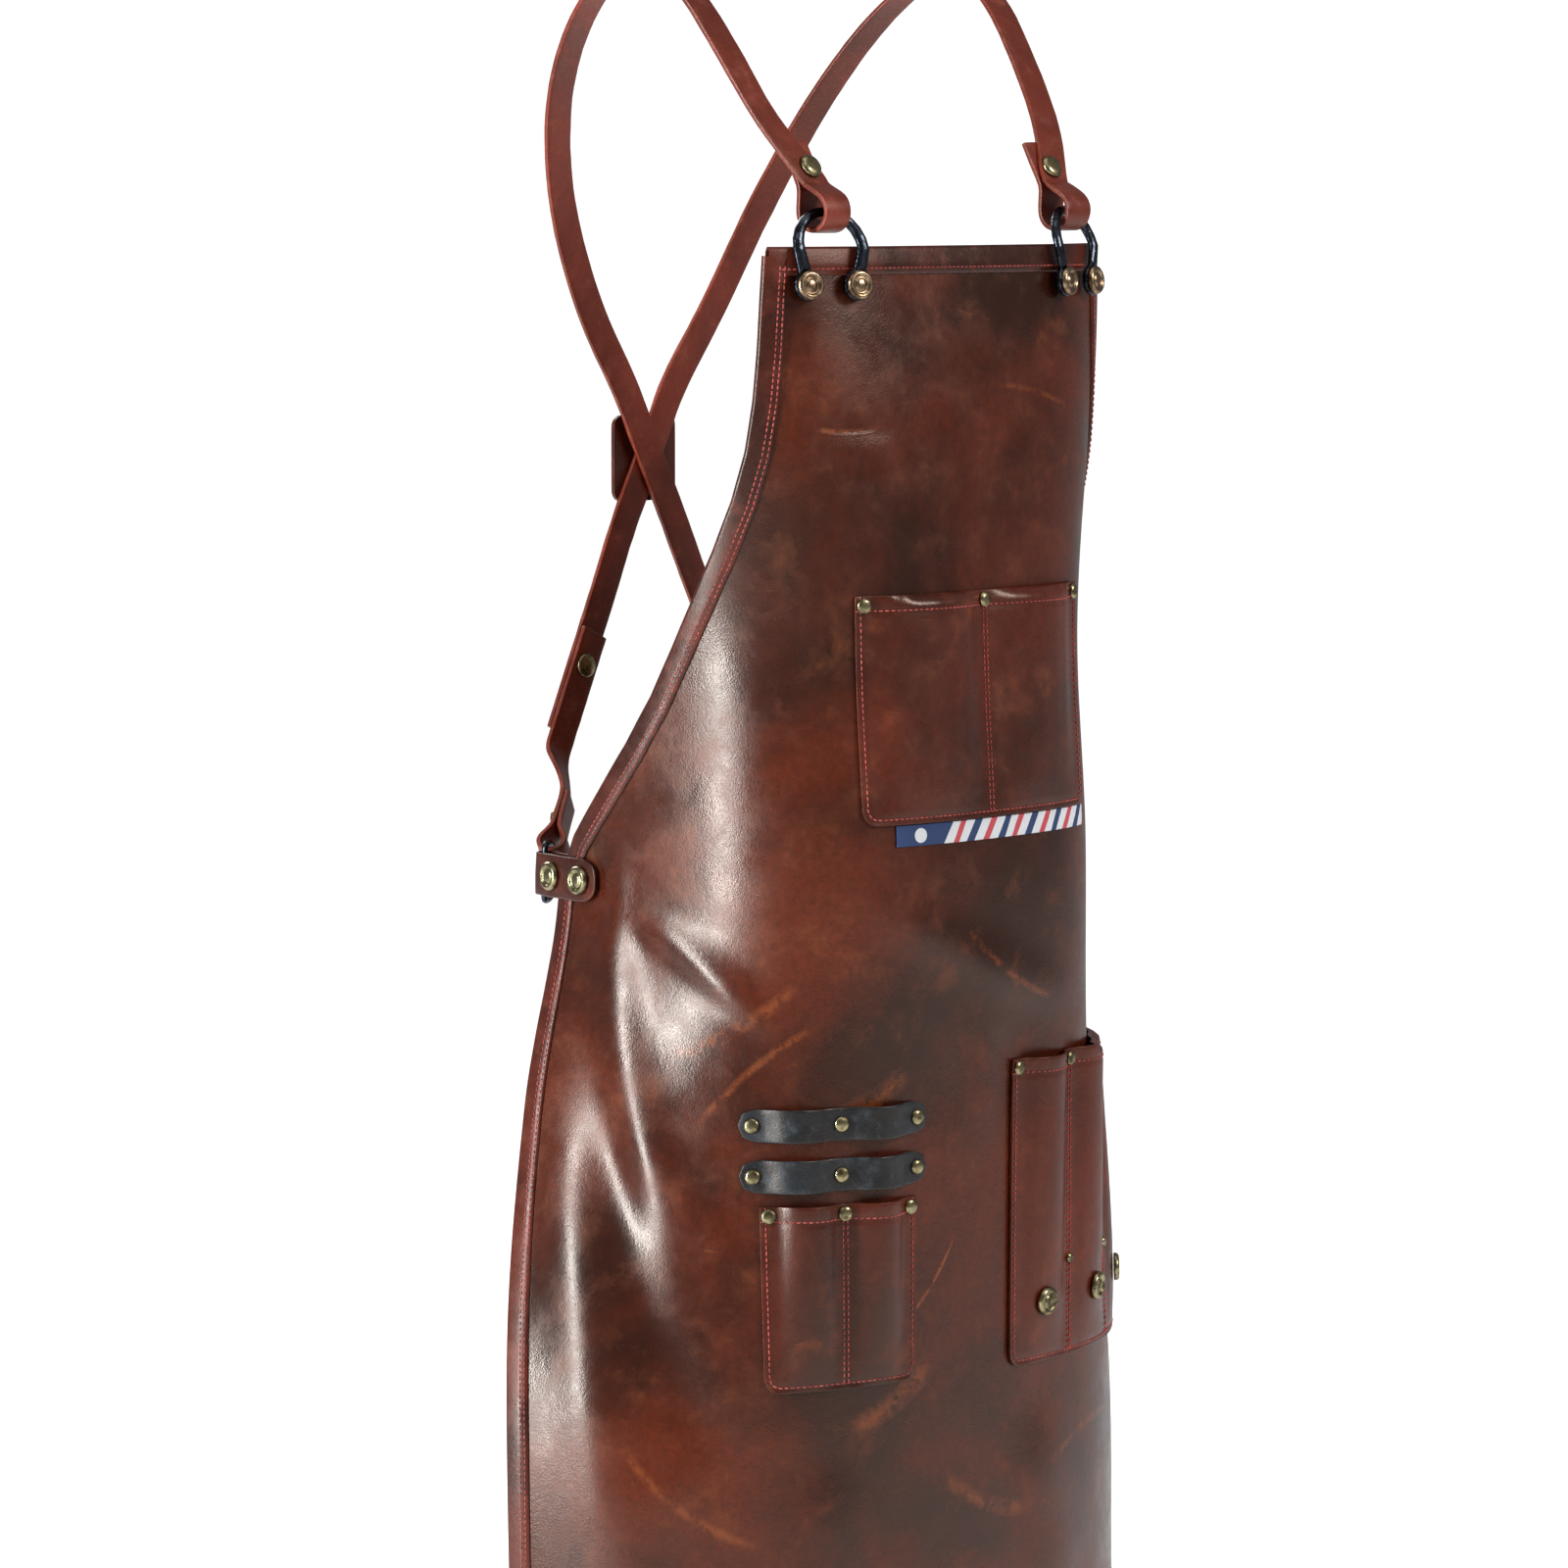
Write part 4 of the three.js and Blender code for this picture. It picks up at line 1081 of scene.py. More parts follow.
class HeadShape(Enum):
    """The kinds of round heads, as radii and heights from the rim to the middle."""

    RIVET = (
        (0.97, 1.0, 0.985, 0.93, 0.82, 0.66, 0.45, 0.22, 0),
        (0, 0.14, 0.3, 0.5, 0.7, 0.85, 0.95, 0.99, 1),
    )
    STUD = (
        (0.98, 1.0, 0.985, 0.93, 0.84, 0.74, 0.66, 0.6, 0.55, 0.47, 0.42, 0.34, 0.2, 0),
        (0, 0.2, 0.5, 0.78, 0.96, 1.0, 0.93, 0.72, 0.62, 0.62, 0.78, 0.9, 0.97, 1.0),
    )
    CAP = ((0.97, 1.0, 0.98, 0.9, 0.76, 0.55, 0.3, 0), (0, 0.16, 0.38, 0.66, 0.86, 0.97, 1.0, 1.0))

    def outline(self, radius: float, height: float) -> list[Place]:
        """Returns the head's outline for a radius and a height."""
        return [(r * radius, h * height) for r, h in zip(*self.value)]


@dataclass
class Heads:
    """Round metal heads that sit on the leather or on the straps."""

    sides: int = 40

    def make(
        self,
        name: str,
        shape: HeadShape,
        nodes: Sequence[str],
        finish: Material,
        body: str,
    ) -> Object:
        """Makes one piece of like heads in the places of CAD heads.

        Args:
            name: The piece's name.
            shape: The kind of head.
            nodes: The CAD heads that it stands for.
            finish: The heads' material.
            body: The body that they ride on.

        Returns:
            The piece.
        """
        seats = [Seat.of(node) for node in nodes]
        base = np.array([s.base for s in seats])
        axis = np.array([s.axis for s in seats])
        run = np.array([np.cross(a, (0.0, 0.0, 1.0)) for a in axis])
        head = lathed("head_shape", shape.outline(seats[0].radius, seats[0].height), self.sides)
        outward(head)
        head.data.shade_smooth()
        places = places_mesh(name, base, axis, run)
        made = Scatter("round_heads", along=False).spread(name, places, head, finish)
        bpy.data.objects.remove(head)
        settle(made, body, "brass", *nodes)
        return made


# ---- Leather pieces of the apron ----
@dataclass(frozen=True)
class Outline:
    """The apron's outline: straight armholes and sides, round hem corners."""

    drape: Drape
    top: float
    hem: float
    corner: float = 30 * MM

    def straight(self, z: Array) -> Array:
        """Returns half the width at a level with the hem's corners left square."""
        z = np.maximum(z, self.hem + self.corner)
        return self.drape.half_width(z)

    def half(self, z: Array) -> Array:
        """Returns half the width at a level."""
        drop = np.clip(self.hem + self.corner - z, 0, self.corner)
        return self.straight(z) - self.corner + np.sqrt(np.maximum(self.corner**2 - drop**2, 0))

    def path(self, inset: float, pitch: float = 3 * MM) -> Array:
        """Returns (u, z) places along the edge, down one side and up the other.

        Args:
            inset: How far inside the edge the path runs.
            pitch: The step along it.

        Returns:
            One row of two numbers for each place.
        """
        levels = np.arange(self.top, self.hem + self.corner, -pitch)
        side = np.stack([-self.straight(levels), levels], axis=1)
        turn = np.linspace(0, math.pi / 2, 14)
        foot = float(self.straight(np.array([self.hem]))[0])
        across = -foot + self.corner * (1 - np.cos(turn))
        bend = np.stack([across, self.hem + self.corner * (1 - np.sin(turn))], axis=1)
        count = int(2 * (foot - self.corner) / pitch)
        across = np.linspace(-foot + self.corner, foot - self.corner, count)
        hem = np.stack([across, np.full(count, self.hem)], axis=1)
        half = np.concatenate([side, bend[:-1]])
        mirrored = half[::-1] * (-1, 1)
        line = np.concatenate([half, hem, mirrored])
        return line + self.inward(line) * inset

    @staticmethod
    def inward(line: Array) -> Array:
        """Returns the directions across a path, towards the leather's middle."""
        run = np.gradient(line, axis=0)
        run /= np.linalg.norm(run, axis=1)[:, None]
        return np.stack([-run[:, 1], run[:, 0]], axis=1)


@dataclass(frozen=True)
class PanelSize:
    """The panel's leather."""

    thick: float = 2 * MM
    cell: float = 4 * MM


@dataclass
class Panel:
    """The apron's one large piece of leather."""

    drape: Drape
    outline: Outline
    size: PanelSize = PanelSize()

    def make(self, face: Material, flesh: Material) -> Object:
        """Builds the panel.

        Args:
            face: The finish of the outer face.
            flesh: The finish of the side towards the body.

        Returns:
            The panel, with its UV map in metres along the leather.
        """
        corner = np.linspace(0, math.pi / 2, 9)
        low = self.outline.hem + self.outline.corner * (1 - np.cos(corner))
        rest = np.arange(low[-1], self.outline.top, self.size.cell)[1:]
        levels = np.concatenate([low, rest, [self.outline.top]])
        across = np.linspace(-1, 1, int(2 * self.drape.half_widths.max() / self.size.cell))
        half = self.outline.half(levels)
        u = half[:, None] * across[None, :]
        z = np.repeat(levels[:, None], len(across), axis=1)
        front = self.drape.place(u, z, 0.0)
        back = self.drape.place(u, z, -self.size.thick)
        panel = shell("panel_leather", front, back, np.stack([u, z], axis=2))
        dress(panel, face, flesh)
        panel.data.shade_smooth()
        panel.data.set_sharp_from_angle(angle=math.radians(50))
        settle(panel, "apron", "body_leather", "apron_panel")
        return panel

    def area(self) -> float:
        """Returns the leather's flat area."""
        levels = np.linspace(self.outline.hem, self.outline.top, 400)
        return float(np.trapz(2 * self.outline.half(levels), levels))


@dataclass(frozen=True)
class BindingSize:
    """A strip of leather folded over an edge."""

    width: float
    thick: float = 1.4 * MM
    gap: float = 0.25 * MM
    pucker: float = 0.22 * MM
    pucker_pitch: float = 7 * MM


@dataclass
class FoldedStrip:
    """A strip folded over the panel's edge along a path."""

    drape: Drape
    size: BindingSize
    panel_thick: float = 2 * MM

    def profile(self) -> Array:
        """Returns the strip's section as (inset from the edge, offset) places."""
        size = self.size
        front, back = size.gap, -self.panel_thick - size.gap
        middle = (front + back) / 2
        outer, inner = (front - back) / 2 + size.thick, (front - back) / 2
        lip = 0.45 * size.thick
        turn = np.linspace(-math.pi / 2, math.pi / 2, 9)
        outside = [(-outer * math.cos(t) * 0.85, middle - outer * math.sin(-t)) for t in turn]
        inside = [(-inner * math.cos(t) * 0.6 + 0.2 * MM, middle - inner * math.sin(-t)) for t in turn[::-1]]
        width = size.width
        insets = (width, width - 0.3 * MM, width - 1 * MM, width * 0.5)
        heights = (0.25 * lip, lip, size.thick, size.thick)
        back_run = [(d, back - height) for d, height in zip(insets, heights)]
        front_run = [(d, front + height) for d, height in zip(insets[::-1], heights[::-1])]
        under = [(width, front), (width * 0.5, front)]
        behind = [(width * 0.5, back), (width, back)]
        return np.array([*back_run, *outside, *front_run, *under, *inside, *behind])

    def make(self, name: str, line: Array, node: str, finish: Material, slot: str) -> Object:
        """Builds the strip.

        Args:
            name: The piece's name.
            line: (u, z) places along the edge.
            node: The CAD node that it stands for.
            finish: Its material.
            slot: Passed on to settle, which does not use it.

        Returns:
            The piece.
        """
        profile = self.profile()
        inward = Outline.inward(line)
        at = np.concatenate([[0], np.cumsum(np.linalg.norm(np.diff(line, axis=0), axis=1))])
        wave = np.sin(2 * math.pi * at / self.size.pucker_pitch) * np.sin(at * 190 + 1) * self.size.pucker
        rings, uv = [], []
        for d, offset in profile:
            place = line + inward * d
            share = np.clip(d / self.size.width, 0, 1)
            lift = wave * math.sin(math.pi * share) if offset > self.size.gap * 1.1 else 0 * wave
            rings.append(self.drape.place(place[:, 0], place[:, 1], offset + lift))
            uv.append(np.stack([place[:, 0], place[:, 1]], axis=1))
        piece = swept(name, np.stack(rings, axis=1), np.stack(uv, axis=1))
        dress(piece, finish)
        smooth_shade(piece, 60)
        settle(piece, "apron", slot, node)
        return piece


@dataclass(frozen=True)
class PocketSize:
    """A pocket's place on the leather, in (u, z), and its seams."""

    node: str
    left: float
    right: float
    bottom: float
    top: float
    dividers: int
    round: float = 9 * MM
    seam: float = 3.6 * MM
    mouth: float = 8.5 * MM
    groove: float = 0.5 * MM


@dataclass
class Pocket:
    """A bellied pocket sewn on the panel."""

    drape: Drape
    size: PocketSize
    cell: float = 2.2 * MM
    thick: float = 1.8 * MM
    lay: float = 0.5 * MM

    def divider_places(self) -> list[float]:
        """Returns the u of each divider."""
        size = self.size
        count = size.dividers + 1
        return [size.left + (size.right - size.left) * k / count for k in range(1, count)]

    def _lift(self, u: Array, z: Array) -> Array:
        """Reads how far the CAD pocket's outer face stands off the leather."""
        tree = tree_over(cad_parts[self.size.node])
        base, normal = self.drape.bare(u.ravel(), z.ravel()), self.drape.normal(u.ravel(), z.ravel())
        reach = 40 * MM
        found = []
        for b, n in zip(base, normal):
            hit = tree.ray_cast(Vector(b + n * reach), Vector(-n), reach * 1.2)
            found.append(reach - hit[3] if hit[0] is not None else np.nan)
        lift = np.array(found).reshape(u.shape)
        flat = self.thick + self.lay
        lift = np.where(np.isnan(lift), flat, lift)
        for _ in range(3):
            wide = np.pad(lift, 1, mode="edge")
            near = wide[:-2, 1:-1] + wide[2:, 1:-1] + wide[1:-1, :-2] + wide[1:-1, 2:]
            lift = (near + 2 * wide[1:-1, 1:-1]) / 6
        return lift

    def _groove(self, u: Array, z: Array) -> Array:
        """Returns how far the seams pull the face in."""
        size = self.size
        rows = [np.abs(u - size.left - size.seam), np.abs(size.right - size.seam - u)]
        rows.append(np.abs(z - size.bottom - size.seam))
        rows += [np.abs(u - place) for place in self.divider_places()]
        rows.append(np.abs(size.top - size.mouth - z))
        near = np.minimum.reduce(rows)
        return size.groove * np.exp(-((near / (1.3 * MM)) ** 2))

    def make(self, name: str, finish: Material, inside: Material) -> Object:
        """Builds the pocket.

        Args:
            name: The piece's name.
            finish: The outer face's material.
            inside: The inner face's material.

        Returns:
            The piece.
        """
        size = self.size
        edge = 0.35 * MM
        us = np.linspace(size.left + edge, size.right - edge, int((size.right - size.left) / self.cell))
        turn = np.linspace(0, math.pi / 2, 7)
        low = size.bottom + edge + size.round * (1 - np.cos(turn))
        high = np.linspace(low[-1], size.top, int((size.top - low[-1]) / self.cell))
        zs = np.concatenate([low, high[1:]])
        pinch = np.clip(size.round - (zs - size.bottom - edge), 0, size.round)
        inset = size.round - np.sqrt(size.round**2 - pinch**2)
        middle, half = (size.left + size.right) / 2, (size.right - size.left) / 2 - edge
        u = middle + (us - middle)[None, :] * ((half - inset) / half)[:, None]
        z = np.repeat(zs[:, None], len(us), axis=1)
        lift = self._lift(u, z) - self._groove(u, z)
        folds = self.drape.relief(u.ravel(), z.ravel()).reshape(u.shape)
        front = self.drape.place(u, z, lift - folds)
        back = self.drape.place(u, z, np.maximum(lift - self.thick, self.lay * 0.5) - folds)
        pocket = shell(name, front, back, np.stack([u, z], axis=2))
        dress(pocket, finish, inside)
        smooth_shade(pocket, 50)
        rim = pocket.modifiers.new("rim", "BEVEL")
        rim.width = 0.55 * MM
        rim.segments = 2
        rim.limit_method = "ANGLE"
        rim.angle_limit = math.radians(50)
        finished(pocket)
        smooth_shade(pocket, 60)
        settle(pocket, "apron", "body_leather", size.node)
        return pocket

    def sew(self, stitcher: Stitcher, pocket: Object) -> None:
        """Adds the pocket's seams: two sides, bottom, dividers and mouth."""
        size = self.size
        left, right, seam = size.left + size.seam, size.right - size.seam, size.seam
        turn = np.linspace(0, math.pi / 2, 6)
        bend = size.round - seam + 1 * MM
        low = size.bottom + seam
        line = [(left, size.top - 2 * MM), (left, low + bend)]
        line += [(left + bend * (1 - math.cos(t)), low + bend * (1 - math.sin(t))) for t in turn]
        line += [(right - bend * (1 - math.cos(t)), low + bend * (1 - math.sin(t))) for t in turn[::-1]]
        line += [(right, low + bend), (right, size.top - 2 * MM)]
        stitcher.add(line, pocket)
        level = size.top - size.mouth
        stitcher.add([(size.left + 2 * MM, level), (size.right - 2 * MM, level)], pocket)
        for place in self.divider_places():
            for aside in (-1.4 * MM, 1.4 * MM):
                stitcher.add([(place + aside, size.top - 3 * MM), (place + aside, low + 1 * MM)], pocket)


# ---- Carried CAD shapes with softened edges ----
@dataclass(frozen=True)
class Softening:
    """How a CAD shape's edges are rounded and its leather made uneven."""

    bevel: float = 0.7 * MM
    segments: int = 2
    angle: float = 42.0
    subdivide: int = 1
    wobble: float = 0.25 * MM
    wobble_size: float = 24 * MM


def softened(node: str, name: str, how: Softening) -> Object:
    """Copies a CAD piece and rounds it.

    Args:
        node: The CAD node.
        name: The new piece's name.
        how: The rounding.

    Returns:
        The new piece.
    """
    piece = merged_copy(node, name)
    if how.bevel:
        bevel = piece.modifiers.new("bevel", "BEVEL")
        bevel.width = how.bevel
        bevel.segments = how.segments
        bevel.limit_method = "ANGLE"
        bevel.angle_limit = math.radians(how.angle)
        bevel.use_clamp_overlap = True
    if how.subdivide:
        smooth = piece.modifiers.new("smooth", "SUBSURF")
        smooth.levels = how.subdivide
        smooth.render_levels = how.subdivide
    finished(piece)
    if how.wobble:
        co = np.array([v.co[:] for v in piece.data.vertices])
        normal = np.array([v.normal[:] for v in piece.data.vertices])
        p = co / how.wobble_size * 2 * math.pi
        wave = np.sin(p[:, 0] + 1.3 * np.sin(p[:, 2] * 0.7))
        wave *= np.sin(p[:, 2] * 0.9 + 0.5) * np.cos(p[:, 1] * 0.8 + 0.3)
        co += normal * (wave * how.wobble)[:, None]
        piece.data.vertices.foreach_set("co", co.astype(np.float32).ravel())
    smooth_shade(piece, 60)
    return piece


@dataclass
class Carried:
    """Sets CAD shapes into the scene with softened edges and a finish."""

    how: Softening

    def make(self, node: str, name: str, finish: Material, body: str, slot: str) -> Object:
        """Builds one piece.

        Args:
            node: The CAD node that it stands for.
            name: The piece's name.
            finish: Its material.
            body: The body that it rides on.
            slot: Passed on to settle, which does not use it.

        Returns:
            The piece.
        """
        piece = softened(node, name, self.how)
        dress(piece, finish)
        settle(piece, body, slot, node)
        return piece


# ---- Sub-assemblies ----
FOLDS = (
    Fold((-0.262, -0.50), (-0.2, -0.72), 5.0 * MM, 16 * MM, 10 * MM),
    Fold((-0.24, -0.54), (-0.15, -0.60), 3.6 * MM, 9 * MM, -5 * MM),
    Fold((-0.25, -0.62), (-0.18, -0.86), -3.5 * MM, 18 * MM, 12 * MM),
    Fold((-0.28, -0.66), (-0.24, -0.95), 4.0 * MM, 20 * MM, -8 * MM),
    Fold((-0.2, -0.83), (-0.23, -0.97), 3.5 * MM, 18 * MM, 6 * MM),
    Fold((-0.12, -0.86), (-0.10, -0.975), 2.2 * MM, 24 * MM),
    Fold((0.24, -0.52), (0.21, -0.74), 3.6 * MM, 16 * MM, -8 * MM),
    Fold((0.27, -0.64), (0.23, -0.92), 4.0 * MM, 20 * MM, 8 * MM),
    Fold((0.05, -0.85), (0.08, -0.97), 2.6 * MM, 26 * MM),
    Fold((-0.128, -0.25), (-0.108, -0.42), 1.6 * MM, 12 * MM, 4 * MM),
    Fold((-0.13, -0.262), (-0.06, -0.262), -0.9 * MM, 5 * MM, 2 * MM),
    Fold((-0.09, -0.53), (0.08, -0.6), 2.0 * MM, 14 * MM, 6 * MM),
    Fold((0.0, -0.56), (0.01, -0.68), 1.4 * MM, 20 * MM),
)
MARKS = (
    Mark((-0.088, -0.79), (-0.02, -0.725), 1.6 * MM, 9 * MM, 0.75, 0.10),
    Mark((-0.1, -0.835), (-0.04, -0.80), 9 * MM, 4 * MM, 0.5),
    Mark((-0.21, -0.62), (-0.13, -0.575), 5 * MM, 6 * MM, 0.5),
    Mark((-0.19, -0.66), (-0.12, -0.60), 3 * MM, -5 * MM, 0.55),
    Mark((-0.11, -0.655), (-0.06, -0.63), 8 * MM, 3 * MM, 0.55),
    # The crease below the wearer's right bow: a real groove in the bump, lightened as a painted highlight.
    Mark((-0.118, -0.262), (-0.075, -0.262), 1.8 * MM, 2 * MM, 0.7, -0.2),
    Mark((0.02, -0.24), (0.09, -0.255), 2.4 * MM, -3 * MM, 0.35, 0.05),
    Mark((-0.03, -0.87), (0.05, -0.9), 6 * MM, 8 * MM, 0.4),
    Mark((0.06, -0.88), (0.16, -0.86), 3 * MM, -9 * MM, 0.45),
    Mark((-0.24, -0.83), (-0.15, -0.9), 4 * MM, 12 * MM, 0.4),
    Mark((-0.02, -0.55), (0.07, -0.6), 3 * MM, 8 * MM, 0.4, 0.04),
    Mark((0.1, -0.55), (0.2, -0.58), 5 * MM, -6 * MM, 0.4),
)
OXBLOOD = LeatherFinish(
    "oxblood_leather", (40, 14, 7), (88, 31, 13), (146, 74, 36), (0.2, 0.36), scuffs=0.26, marks=MARKS
)
POCKET = LeatherFinish(
    "pocket_leather", (48, 16, 8), (92, 31, 14), (152, 74, 34), (0.24, 0.4), scuffs=0.28
)
BINDING = LeatherFinish(
    "binding_leather", (46, 15, 9), (88, 29, 15), (146, 64, 40), (0.26, 0.42), scuffs=0.3, patches=14
)
RUSSET = LeatherFinish(
    "russet_leather", (88, 29, 17), (128, 48, 32), (180, 98, 74), (0.3, 0.46), scuffs=0.35, patches=12
)
INK = LeatherFinish(
    "black_leather", (13, 18, 22), (27, 36, 42), (88, 104, 114), (0.3, 0.5), scuffs=0.25, patches=26
)
SUEDE = LeatherFinish(
    "flesh_side",
    (96, 62, 42),
    (128, 88, 62),
    (160, 120, 90),
    (0.85, 0.95),
    grain=0.7 * MM,
    grain_depth=0.12,
    scuffs=0.5,
)
TAPE = TapeFinish(
    "woven_tape",
    ground=(34, 58, 104),
    stripe=(232, 232, 234),
    accent=(206, 74, 84),
    start=-36 * MM,
    period=25 * MM,
    dot=-56 * MM,
    middle=-494.5 * MM,
)
THREAD = ThreadFinish("waxed_thread", (178, 72, 62), (136, 48, 42))
BRASS = MetalFinish("old_brass", (160, 148, 112), (76, 66, 46), (0.2, 0.42))
COPPER = MetalFinish("copper_brass", (160, 134, 106), (78, 60, 46), (0.2, 0.42))
BLACK = MetalFinish("black_metal", (62, 66, 74), (22, 24, 28), (0.2, 0.4))


@dataclass
class Finishes:
    """Every material of the apron, built once."""

    panel: Material
    flesh: Material
    pocket: Material
    binding: Material
    loop: Material
    strap: Material
    tape: Material
    thread: Material
    brass: Material
    copper: Material
    black: Material

    @staticmethod
    def build() -> "Finishes":
        """Builds the materials."""
        return Finishes(
            panel=OXBLOOD.material(),
            flesh=SUEDE.material(),
            pocket=POCKET.material(),
            binding=BINDING.material(),
            loop=INK.material(),
            strap=RUSSET.material(),
            tape=TAPE.material(),
            thread=THREAD.material(),
            brass=BRASS.material(),
            copper=COPPER.material(),
            black=BLACK.material(),
        )


@dataclass(frozen=True)
class ApronSize:
    """Sizes that the apron's pieces share, in metres."""

    top: float = -162 * MM
    hem: float = -985 * MM
    binding: float = 13 * MM
    top_hem: float = 14 * MM
    pocket_border: float = 3 * MM
    bow_from_centre: float = 104 * MM
    bow_half: float = 36 * MM
    loops: Quiet = Quiet(-175 * MM, -37 * MM, -700 * MM, -645 * MM)
    chest: PocketSize = PocketSize("chest_pocket", -95 * MM, 95 * MM, -488 * MM, -357 * MM, 1)
    hip: PocketSize = PocketSize("hip_pocket", -154 * MM, -54 * MM, -810 * MM, -703 * MM, 1)
    thigh: PocketSize = PocketSize("thigh_pocket", 24 * MM, 198 * MM, -815 * MM, -632 * MM, 2)


@dataclass
class Apron:
    """The panel with its edges, pockets, loops and tabs."""

    drape: Drape
    finishes: Finishes
    size: ApronSize = field(default_factory=ApronSize)

    def build(self) -> None:
        """Builds all the leather of the apron."""
        size, finishes = self.size, self.finishes
        outline = Outline(self.drape, size.top, size.hem)
        self._set_folds()
        panel_maker = Panel(self.drape, outline)
        panel = panel_maker.make(finishes.panel, finishes.flesh)
        log.info("panel made")
        edge_line = outline.path(0.0)
        keep = edge_line[edge_line[:, 1] < size.top - 2 * MM]
        edge = FoldedStrip(self.drape, BindingSize(size.binding))
        binding = edge.make(
            "edge_binding_leather", keep, "edge_binding", finishes.binding, "binding_leather"
        )
        half = float(outline.half(np.array([size.top]))[0]) - 1 * MM
        across = np.linspace(half, -half, 70)
        top_line = np.stack([across, np.full(70, size.top)], axis=1)
        hem = FoldedStrip(self.drape, BindingSize(size.top_hem, pucker_pitch=9 * MM))
        top_hem = hem.make(
            "top_hem_leather", top_line, "bib_top_hem", finishes.binding, "body_leather"
        )
        log.info("edges made")
        stitcher = Stitcher(self.drape, finishes.thread)
        for inset in (8 * MM, 11 * MM):
            row = outline.path(inset)
            stitcher.add(row[row[:, 1] < size.top - 8 * MM], binding)
        row = outline.half(np.array([size.top - 7 * MM]))[0] - 10 * MM
        stitcher.add([(-row, size.top - 10.5 * MM), (row, size.top - 10.5 * MM)], top_hem)
        for name, pocket_size in (("chest", size.chest), ("hip", size.hip), ("thigh", size.thigh)):
            maker = Pocket(self.drape, pocket_size)
            pocket = maker.make(f"{name}_pocket_leather", finishes.pocket, finishes.flesh)
            maker.sew(stitcher, pocket)
            log.info("%s pocket made", name)
        tape = self._tape()
        stitches = stitcher.sew("apron_stitches")
        settle(stitches, "apron", "binding_leather")
        log.info("stitches made")
        area = panel_maker.area()

    def _set_folds(self) -> None:
        """Lays the soft folds and the places that stay flat."""
        size = self.size
        self.drape.folds += FOLDS
        quiet = self.drape.quiet
        border = size.pocket_border
        for pocket in (size.chest, size.hip, size.thigh):
            sides = (pocket.left - border, pocket.right + border)
            quiet.append(Quiet(*sides, pocket.bottom - border, pocket.top + border))
        quiet.append(size.loops)
        for side in RIGHT_LEFT:
            low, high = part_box(f"waist_tab_{side}")
            u, z = self.drape.locate([(a + b) / 2 for a, b in zip(low, high)])
            quiet.append(Quiet(u - 30 * MM, u + 30 * MM, z - 15 * MM, z + 15 * MM))
        for u in (-size.bow_from_centre, size.bow_from_centre):
            quiet.append(Quiet(u - size.bow_half, u + size.bow_half, -210 * MM, -100 * MM))

    def _tape(self) -> Object:
        """Builds the woven tape below the chest pocket."""
        piece = merged_copy("label_tape", "label_tape_weave")
        bevel = piece.modifiers.new("bevel", "BEVEL")
        bevel.width = 0.2 * MM
        bevel.segments = 2
        bevel.limit_method = "ANGLE"
        bevel.angle_limit = math.radians(50)
        finished(piece)
        places = [self.drape.locate(v.co) for v in piece.data.vertices]
        set_uv(piece, np.array(places))
        dress(piece, self.finishes.tape)
        smooth_shade(piece, 50)
        settle(piece, "apron", "tape", "label_tape")
        return piece


